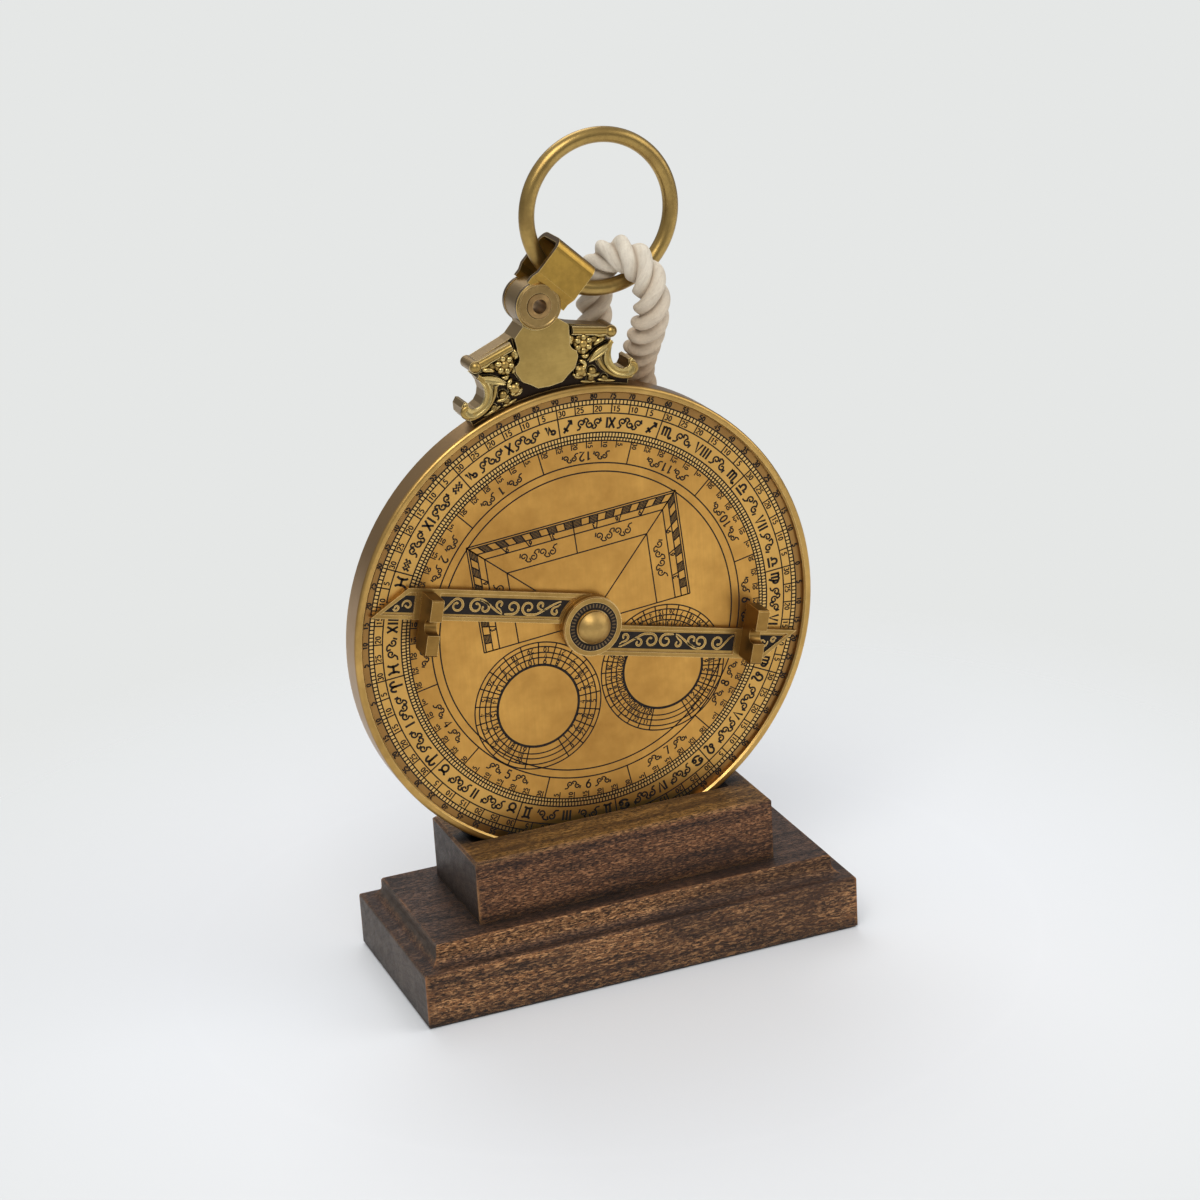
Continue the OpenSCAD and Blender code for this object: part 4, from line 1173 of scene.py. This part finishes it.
# %% Round tables
TABLE_IN, TABLE_OUT = 15.6, 24.2


def add_table(pile, centre, sectors, gap_share, turn):
    """Five circles, sector lines and three rings of numbers round a plain middle; the
    bare sector is gap_share times as wide as one of an even division."""
    for r, width in ((TABLE_IN, .95), (18.4, .48), (20.3, .48), (22.5, .48), (TABLE_OUT, .5)):
        add_line(pile, circle(r, 96, centre), width, DIAL_OUT, closed=True)
    gap = gap_share * 360 / sectors
    step = (360 - gap) / sectors
    size = min(2.0, 0.1 * step + .6)
    for k in range(sectors + 1):
        degrees = 180 - gap / 2 - k * step + turn
        a = math.radians(90 - degrees)
        spoke = np.outer((TABLE_IN, TABLE_OUT), (math.cos(a), math.sin(a)))
        add_line(pile, spoke + centre, .48, DIAL_OUT)
        if k < sectors:
            for number, r, share, width in ((str(k + 1), 17.05, 1, .44),
                                            (ROMAN[(11 * k) % 12], 19.35, .74, .34),
                                            (str((19 * k + 7) % 30 + 1), 21.4, .86, .38)):
                add_number(pile, number, degrees - step / 2, r, size * share, width,
                           spin=180, centre=centre)


table_pile = Pile()
LEAN_TABLES, MOON_YEARS, LETTER_YEARS = -4.4, 19, 28
add_table(table_pile, (-21.1, -27.9), MOON_YEARS, 2.2, LEAN_TABLES)
add_table(table_pile, (27.9, -22.9), LETTER_YEARS, 3.2, LEAN_TABLES)
table_pile.piece("round_tables", black_filling, "astrolabe")

# %% [markdown]
# The hidden face is the astrolabe's other half. Its limb carries twice twelve hours,
# and inside the degree ladder four quarters of ninety degrees.

# %% Hidden limb
BACK_LEAN = -LEAN_THRONE
limb_pile, hour_pile = Pile(), Pile()
LIMB_RIM, LIMB_DEGREES, LIMB_QUARTERS, LIMB_HOURS = 86.2, 83.9, 80.9, 76.3
for r, width in ((LIMB_RIM, .3), (LIMB_DEGREES, .3), (LIMB_QUARTERS, .3), (LIMB_HOURS, .4)):
    add_line(limb_pile, circle(r, 200), width, LIMB_OUT, hidden=True, closed=True)
for low, high, count, width in ((LIMB_DEGREES, LIMB_RIM, 360, .3),
                                (LIMB_QUARTERS, LIMB_DEGREES, 72, .34),
                                (LIMB_HOURS, LIMB_QUARTERS, 24, .34)):
    add_ladder(limb_pile, low, high, count, width, LIMB_OUT, BACK_LEAN, True)
for k in range(36):
    degree = 90 - abs(90 - k * 10 % 180)
    number = [s * 2.0 for s in figure_strokes(str(degree))]
    middle = (LIMB_QUARTERS + LIMB_DEGREES) / 2
    add_strokes(hour_pile, bend(number, k * 10 + 2.0, middle), .36, BACK_LEAN, LIMB_OUT, True)
for k in range(24):
    number = [s * 3.0 for s in figure_strokes(ROMAN[(k + 11) % 12])]
    middle = (LIMB_HOURS + LIMB_QUARTERS) / 2
    add_strokes(hour_pile, bend(number, k * 15, middle), .5, BACK_LEAN, LIMB_OUT, True)
limb_pile.piece("limb_scale", black_filling, "astrolabe")
hour_pile.piece("limb_numbers", black_filling, "astrolabe")

# %% [markdown]
# The climate plate shows the sky's circles for forty-one degrees north, drawn by
# projecting each from the south pole onto the plane of the equator, where every
# circle stays a circle. A circle at a distance from the pole lands at the equator's
# radius times the tangent of half that distance.

# %% Climate plate
PLATE_OUT, LATITUDE, OBLIQUITY = 2.24, math.radians(41), math.radians(23.44)
TROPIC_R, PLATE_R = 74.2, 73.6
polar = math.tan((math.pi / 2 - OBLIQUITY) / 2)
EQUATOR_R, CANCER_R = TROPIC_R * polar, TROPIC_R * polar**2
plate_pile = Pile()


def clipped(pile, points, keep, width):
    """Only the runs of a line where keep is true."""
    ends = np.flatnonzero(np.diff(np.concatenate([[0], keep.astype(int), [0]])))
    for first, last in ends.reshape(-1, 2):
        if last - first > 2:
            add_line(pile, points[first:last], width, PLATE_OUT, BACK_LEAN, True)


for r in (EQUATOR_R, CANCER_R, PLATE_R):
    add_line(plate_pile, circle(r, 160), .32, PLATE_OUT, hidden=True, closed=True)
for end in ((PLATE_R, 0), (0, PLATE_R)):
    add_line(plate_pile, np.outer((-1, 1), end), .32, PLATE_OUT, BACK_LEAN, True)
for altitude in range(0, 90, 6):
    h = math.radians(altitude)
    below = math.sin(LATITUDE) + math.sin(h)
    middle = 0, EQUATOR_R * math.cos(LATITUDE) / below
    level = circle(EQUATOR_R * math.cos(h) / below, 220, middle, 90)
    clipped(plate_pile, level, np.hypot(*level.T) < PLATE_R, .42 if altitude == 0 else .26)
horizon_r, horizon_up = EQUATOR_R / math.sin(LATITUDE), EQUATOR_R / math.tan(LATITUDE)
zenith_r = EQUATOR_R / math.cos(LATITUDE)
for azimuth in range(-75, 90, 15):
    a = math.radians(azimuth)
    middle = zenith_r * math.tan(a), -EQUATOR_R * math.tan(LATITUDE)
    upright = circle(zenith_r / math.cos(a), 300, middle)
    above = np.hypot(upright[:, 0], upright[:, 1] - horizon_up) < horizon_r
    clipped(plate_pile, upright, above & (np.hypot(*upright.T) < PLATE_R), .24)
plate_pile.piece("climate_lines", black_filling, "astrolabe")

# %% [markdown]
# The star map's off-centre ring is the sun's path. Its divisions crowd together
# towards the pole, because they too are projected: each is found from the sun's
# direction and height above the equator on that day.

# %% Star map and rule
RETE_OUT, RULE_OUT = 4.1, 7.1
longitude = np.radians(np.arange(0, 360, 5.0))
height = np.arcsin(np.sin(longitude) * math.sin(OBLIQUITY))
direction = np.arctan2(np.sin(longitude) * math.cos(OBLIQUITY), np.cos(longitude))
far = EQUATOR_R * np.tan((math.pi / 2 - height) / 2)
sun_path = np.stack([far * np.cos(direction), -far * np.sin(direction)], -1)
off_pole = np.array([0, round((TROPIC_R - CANCER_R) / 2, 2)])
spokes = unit(sun_path - off_pole)
ZODIAC_OUT, ZODIAC_SCALE, ZODIAC_IN = 52.2, 50.2, 47.2
rete_pile = Pile()
for r in (ZODIAC_OUT, ZODIAC_SCALE, ZODIAC_IN):
    add_line(rete_pile, circle(r, 160, off_pole), .26, RETE_OUT, -RETE_TURN, True, True)
for k, spoke in enumerate(spokes):
    low = ZODIAC_IN if k % 6 == 0 else ZODIAC_SCALE
    add_line(rete_pile, off_pole + np.outer((low, ZODIAC_OUT), spoke), .26, RETE_OUT,
             -RETE_TURN, True)
for r in (73.0, 71.2):
    add_line(rete_pile, circle(r, 160), .24, RETE_OUT, -RETE_TURN, True, True)
for k in range(12):
    half_way = unit(spokes[6 * k] + spokes[(6 * k + 6) % 72])
    upright = math.degrees(math.atan2(half_way[1], half_way[0])) - 90
    sign = set_strokes(SIGNS[k], off_pole + half_way * (ZODIAC_IN + 1.5), 1.9, upright)
    add_strokes(rete_pile, sign, .3, -RETE_TURN, RETE_OUT, True)
rete_pile.piece("star_map_marks", black_filling, "rete")

rule_pile = Pile()
for turn in (-RULE_TURN, 180 - RULE_TURN):
    for k, x in enumerate(np.arange(14, 66, 1.9)):
        tick = cuts((x, -.25), (x, -1.7 if k % 5 else -3.0))
        add_line(rule_pile, tick, .3, RULE_OUT, turn, True)
    for y, end in ((-3.4, 67.5), (-5.9, 64.5)):
        add_line(rule_pile, cuts((13, y), (end, y)), .26, RULE_OUT, turn, True)
for r in (8.9, 7.0):
    add_line(rule_pile, circle(r, 64), .26, RULE_OUT, -RULE_TURN, True, True)
rule_pile.piece("rule_marks", black_filling, "rule")

# %% [markdown]
# The alidade's arms are cut away to a blackened ground on which a brass scroll
# stands up. The scroll is a vine of curls that spring in turn from the upper and
# the lower border, each wound inwards to a round bud.

# %% Alidade ornament
GAP, ARM_THICK, HUB_THICK = 0.08, 1.6, 5.0
ARM_OUT, HUB_OUT = DIAL_OUT + GAP + ARM_THICK, DIAL_OUT + HUB_THICK


def flat_plate(pile, outline, low, high, turn):
    """A thin closed plate over a flat outline."""
    n = len(outline)
    j = np.arange(n)
    k = (j + 1) % n
    walls = np.stack([j, j + n, k + n, k], -1)[:, ::-1]
    pile.add(np.concatenate([on_face(outline, high, turn), on_face(outline, low, turn)]),
             [j[None], (j[::-1] + n)[None], walls])


def volute(x, y, r, start, turns, run=()):
    """A curl wound outwards from a round bud at its eye: the radius grows along the turn,
    then the line may run on through further points; gives points and widths."""
    t = np.linspace(0, 1, 24)
    a = np.radians(start) - 2 * math.pi * turns * (1 - t)
    growing = r * (.3 + .7 * t)
    round_part = np.stack([x + growing * np.cos(a), y + growing * np.sin(a)], -1)
    line = np.concatenate([round_part, np.reshape(run, (-1, 2))])
    along = np.linspace(0, 1, len(line))
    return line, np.interp(along, [0, .05, .14, .55, .9, 1], [.45, 1.05, .6, .95, .75, .4])


def ess(a, b, swing):
    """Points of a smooth crossing between two spots: a cubic that leaves and arrives
    level, where swing is how fast it sets out and how fast it comes in."""
    u = np.linspace(0, 1, 12)[1:, None]
    (ax, ay), (bx, by) = a, b
    eased = u**2 * (3 - 2 * u)
    x = ax + (bx - ax) * eased + swing * (u * (1 - u)**2 - u**2 * (1 - u))
    return np.hstack([x, ay + (by - ay) * eased])


ground, scrolls = Pile(), Pile()
MIDDLE, HIGH, LOW = 5.5, 8.1, 2.9
arm_field = np.concatenate([cuts((-58.3, 8.7), (-58.3, 2.3)),
                            circle(12.5, 12, start=169, sweep=-33)])
tip_field = cuts((-78.2, 2.4), (-72.4, 8.6), (-67.7, 8.6), (-67.7, 2.4))
for turn in (ALIDADE_TURN, ALIDADE_TURN + 180):
    for field in (arm_field, tip_field):
        flat_plate(ground, field, ARM_OUT - .05, ARM_OUT + .06, turn)
    sprays = [volute(-51.8, MIDDLE, 2.6, 90, 1.08, ess((-51.8, HIGH), (-58.0, LOW), -7)),
              volute(-44.5, MIDDLE, 2.6, 90, -1.08, ess((-43.2, HIGH), (-34.4, LOW), 6)),
              volute(-30.7, MIDDLE, 2.6, -90, -1.08, ess((-30.7, LOW), (-33.6, LOW), -3)),
              volute(-41.3, 4.9, 2.0, 80, .85, cuts((-42.2, 7.4), (-43.6, 8.0))),
              volute(-35.6, 6.4, 1.5, 235, .85, cuts((-35.6, 4.6), (-34.6, 3.4))),
              volute(-24.7, MIDDLE, 2.6, -90, 1.08, ess((-22.6, LOW), (-12.4, HIGH), 7)),
              volute(-19.9, 6.5, 1.5, 250, .85, cuts((-19.2, 4.8), (-17.9, 4.9))),
              volute(-14.3, 4.4, 1.6, 100, -.9, cuts((-13.4, 6.4), (-12.6, 7.2)))]
    for line, width in sprays:
        add_line(scrolls, line, width, ARM_OUT + .13, turn)
    for x, y, r, turns in ((-70.2, 5.2, 1.9, 1.05), (-74.2, 4.1, 1.2, -1.05)):
        line, width = volute(x, y, r, 200, turns)
        add_line(scrolls, line, width * .9, ARM_OUT + .13, turn)
ground.piece("alidade_ground", black_filling, "alidade")
scrolls.piece("alidade_scrolls", bar_brass, "alidade")

hub_beads, hub_ground = Pile(), Pile()
add_line(hub_ground, circle(7.77, 96), 2.5, HUB_OUT - .02, closed=True)
add_ladder(hub_beads, 7.25, 8.6, 40, .5, HUB_OUT + .02, ALIDADE_TURN)
hub_ground.piece("hub_ground", black_filling, "alidade")
hub_beads.piece("hub_beads", bead_brass, "alidade")

# %% [markdown]
# The throne was cast with leaves and flowers and then chased by hand. Each leaf is
# a half-round swelling along a bent line: its width and height grow from nothing
# and fall back to nothing. The left side is the right side turned over.

# %% Throne foliage
def walk(path, shares):
    """Points on a bent line at shares of its length."""
    knots = np.asarray(path, float)
    reach = np.concatenate([[0], np.cumsum(np.linalg.norm(np.diff(knots, axis=0), axis=1))])
    return np.stack([np.interp(shares * reach[-1], reach, knots[:, i]) for i in (0, 1)], -1)


def leaf(path, width, height, base, count=13, around=10):
    """A swelling on a flat line: the section is half an ellipse above the base, scaled
    by the root of a sine along the line; gives flat points, depths and faces."""
    t = np.linspace(0.02, 0.98, count)
    line = walk(path, t)
    ahead = unit(np.gradient(line, axis=0))
    across = np.stack([-ahead[:, 1], ahead[:, 0]], -1)
    swell = np.sqrt(np.sin(math.pi * t))[:, None]
    phi = np.linspace(0, 2 * math.pi, around, endpoint=False)[None, :]
    flat = line[:, None] + across[:, None] * (width / 2 * swell * np.cos(phi))[..., None]
    depth = base + height * swell * np.where(np.sin(phi) > 0, np.sin(phi), 0.3 * np.sin(phi))
    return flat.reshape(-1, 2), depth.ravel(), tube_faces(count, around)


def petals(x, y, r, count, width, height, base, first=0):
    """Leaves set like the spokes of a wheel round a point."""
    spokes = np.radians(first + np.arange(count) * 360 / count)
    return [([(x + .25 * r * math.cos(a), y + .25 * r * math.sin(a)),
              (x + r * math.cos(a), y + r * math.sin(a))], width, height, base) for a in spokes]


def even(path, count):
    """A path sampled at even steps and softened at its corners: each point is the mean of
    seven neighbours, and both ends are first carried on by their mirror images."""
    line = walk(path, np.linspace(0, 1, count))
    padded = np.concatenate([2 * line[:1] - line[3:0:-1], line, 2 * line[-1:] - line[-2:-5:-1]])
    return np.stack([np.convolve(padded[:, i], np.ones(7) / 7, "valid") for i in (0, 1)], -1)


def sheet(edge_a, edge_b, low, high, count=34):
    """A hollowed leaf between two edges: each section rises from the ground to a rim,
    dips in the middle and comes down again; both ends run out to nothing."""
    a, b = even(edge_a, count)[:, None], even(edge_b, count)[:, None]
    share = np.array([0, 0, .08, .2, .35, .5, .65, .8, .92, 1, 1])
    rise = np.array([0, .7, 1, .84, .7, .64, .7, .84, 1, .7, 0])
    end = np.sqrt(np.sin(math.pi * np.linspace(.03, .97, count)))[:, None]
    flat = a + (b - a) * share[None, :, None]
    return flat.reshape(-1, 2), (low + high * rise * end).ravel(), tube_faces(count, len(share))


# Each leaf: its line, its width, its height and the ground it stands on
LEAVES = [
    ([(23.4, 102.0), (20.4, 101.4), (18.4, 100.2)], 2.2, 1.5, 3.2),
    ([(18.6, 104.6), (21.4, 103.4), (23.6, 102.6)], 1.9, 1.4, 3.2),
    ([(10.7, 106.6), (9.7, 104.5), (10.7, 102.4)], 2.4, 1.5, 3.4),
    ([(11.6, 101.4), (11.1, 99.5), (12.5, 97.8)], 2.1, 1.5, 3.0),
    ([(13.4, 98.0), (15.0, 97.0), (16.8, 97.6)], 1.8, 1.4, 2.9),
    ([(12.4, 96.4), (14.2, 95), (14.8, 92.8)], 2.0, 1.5, 2.7),
    ([(9.4, 92.2), (10.8, 90.4), (13.4, 89.8)], 1.7, 1.3, 2.5),
    ([(14.4, 90.8), (17.2, 89.4), (19.8, 89.6)], 1.8, 1.3, 2.5),
    ([(18.0, 87.6), (21.4, 86.5), (25.0, 85.4)], 1.7, 1.2, 2.4),
    ([(11.8, 88.5), (14.8, 87.5), (17.8, 86.9)], 1.5, 1.0, 2.3)]
LEAVES += petals(14.7, 101.9, 3.8, 6, 2.3, 1.2, 3.9, 20)
LEAVES += petals(12.4, 92.4, 2.7, 4, 1.9, .9, 3.4, 35)
# The big curled leaf and the blade that springs from it, each between two edges
SHEETS = [
    ([(25.5, 99.9), (24, 97.1), (23.6, 94.3), (24.4, 91.9), (26.2, 90.1), (28.6, 89.3),
      (30.3, 90.2), (31, 92.2)],
     [(25.3, 100), (21.6, 97.9), (20.5, 95), (21.2, 92.1), (22.9, 89.1), (26.7, 86.8),
      (31.2, 86.1), (32.7, 88.8), (31.7, 92.4)]),
    ([(25.4, 100.2), (20.8, 99.7), (17.6, 98.2), (15.6, 95.2)],
     [(24.6, 98.9), (21.9, 97.0), (19.6, 96.1), (15.8, 94.9)])]
foliage = Pile()
raised = [leaf(*row) for row in LEAVES] + [sheet(a, b, 4.1, 1.5) for a, b in SHEETS]
for flat, depth, faces in raised:
    foliage.add(on_face(flat, depth, LEAN_THRONE), faces)
    foliage.add(on_face(flat * (-1, 1), depth, LEAN_THRONE), [f[:, ::-1] for f in faces])
foliage.piece("throne_foliage", relief_brass, "astrolabe", smooth=True)

# %% [markdown]
# Under each end of the tubular rivet lies a turned brass disc with a low bead near
# its edge. A turned part is a profile carried round its axis.

# %% Rivet discs
PIVOT_X, PIVOT_Z = -14.127, 246.186
HALF_EYE, BORE_R, DISC_R = 6.9, 4.55, 8.05


def turned_part(profile, around=72):
    """A profile of radius and height carried round the rivet's axis, closed both ways."""
    r, h = np.asarray(profile, float).T
    a = np.linspace(0, 2 * math.pi, around, endpoint=False)[:, None]
    points = np.stack([PIVOT_X + r * np.cos(a), -np.broadcast_to(h, (around, len(r))),
                       PIVOT_Z + r * np.sin(a)], -1)
    return points.reshape(-1, 3), hoop_faces(around, len(r))


discs = Pile()
# Radius, and height over the strap's eye
half_disc = [(BORE_R, -.02), (BORE_R, .35), (6.9, .35), (7.15, .6), (7.6, .6), (7.85, .3),
             (DISC_R, .05), (DISC_R, -.02)]
for side in (1, -1):
    discs.add(*turned_part([(r, side * (HALF_EYE + h)) for r, h in half_disc][::side]))
discs.piece("rivet_discs", disc_brass, "shackle")

# %% [markdown]
# A soft studio: a pale floor, a pale surround and three broad lamps. The floor
# fades out away from the stand, so the picture keeps one even background while
# the shadow under the stand stays.

# %% Floor, surround and lamps
BACKGROUND = (0.785, 0.799, 0.791)
FLOOR_HALF, FADE_FROM, FADE_TO = 3.0, 0.16, 0.36


def mix_shaders(tree, factor, first, second, out):
    """Mixes two shaders by a factor and hands them to an output node."""
    made = node(tree, "ShaderNodeMixShader")
    for socket, value in zip(made.inputs, (factor, first.outputs[0], second.outputs[0])):
        tree.links.new(value, socket)
    tree.links.new(made.outputs[0], out.inputs["Surface"])


floor_mesh = bpy.data.meshes.new("floor")
floor_mesh.from_pydata([(x * FLOOR_HALF, y * FLOOR_HALF, 0)
                        for x, y in ((-1, -1), (1, -1), (1, 1), (-1, 1))], [], [(0, 1, 2, 3)])
floor_finish, tree, shader = new_material("pale floor")
feed(tree, shader.inputs, Base_Color=(0.87, 0.88, 0.885), Roughness=0.7)
where = node(tree, "ShaderNodeTexCoord").outputs["Object"]
fade = ramp(tree, vector_maths(tree, "LENGTH", where).outputs["Value"], FADE_FROM, FADE_TO)
seen_by_camera = node(tree, "ShaderNodeLightPath").outputs["Is Camera Ray"]
mix_shaders(tree, times(tree, fade, seen_by_camera), shader,
            node(tree, "ShaderNodeBsdfTransparent"), tree.nodes["Material Output"])
floor_mesh.materials.append(floor_finish)
floor = put("floor", floor_mesh)
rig.stage(floor)

world = bpy.data.worlds.new("surround")
bpy.context.scene.world = world
world.use_nodes = True
tree = world.node_tree
lit, seen = tree.nodes["Background"], node(tree, "ShaderNodeBackground")
sky = node(tree, "ShaderNodeTexCoord").outputs["Generated"]
height_of = ramp(tree, object_axis(tree, sky, "Z"), 0.0, 0.7)
sky_colour = mix_colour(tree, height_of, (0.36, 0.37, 0.39), (0.93, 0.95, 1.0))
feed(tree, lit.inputs, Color=sky_colour, Strength=0.62)
feed(tree, seen.inputs, Color=BACKGROUND, Strength=1.0)
mix_shaders(tree, node(tree, "ShaderNodeLightPath").outputs["Is Camera Ray"], lit, seen,
            tree.nodes["World Output"])


def add_lamp(name, position, target, size, power, colour=(1, 1, 1)):
    """A square soft box that faces a point."""
    lamp = bpy.data.lights.new(name, "AREA")
    lamp.size, lamp.energy, lamp.color = size, power, colour
    away = unit(np.subtract(position, target))
    side = unit(np.cross([0, 0, 1], away))
    stand_at(put(name, lamp), side, np.cross(away, side), away, position)


add_lamp("key", (-0.5, -0.9, 1.3), (0, 0, 0.12), 0.9, 10.0, (1.0, 0.99, 0.97))
add_lamp("fill", (1.1, -0.5, 0.7), (0, 0, 0.12), 0.9, 4.0)
add_lamp("rim", (0.1, 0.9, 1.2), (0, 0, 0.15), 0.8, 4.5)

# %% [markdown]
# The box round the solids is measured once more, and both boxes are written down.

# %% Finish
size_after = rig.bounds()
with open("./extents.json", "w") as note:
    json.dump([[list(v) for v in size_before], [list(v) for v in size_after]], note)
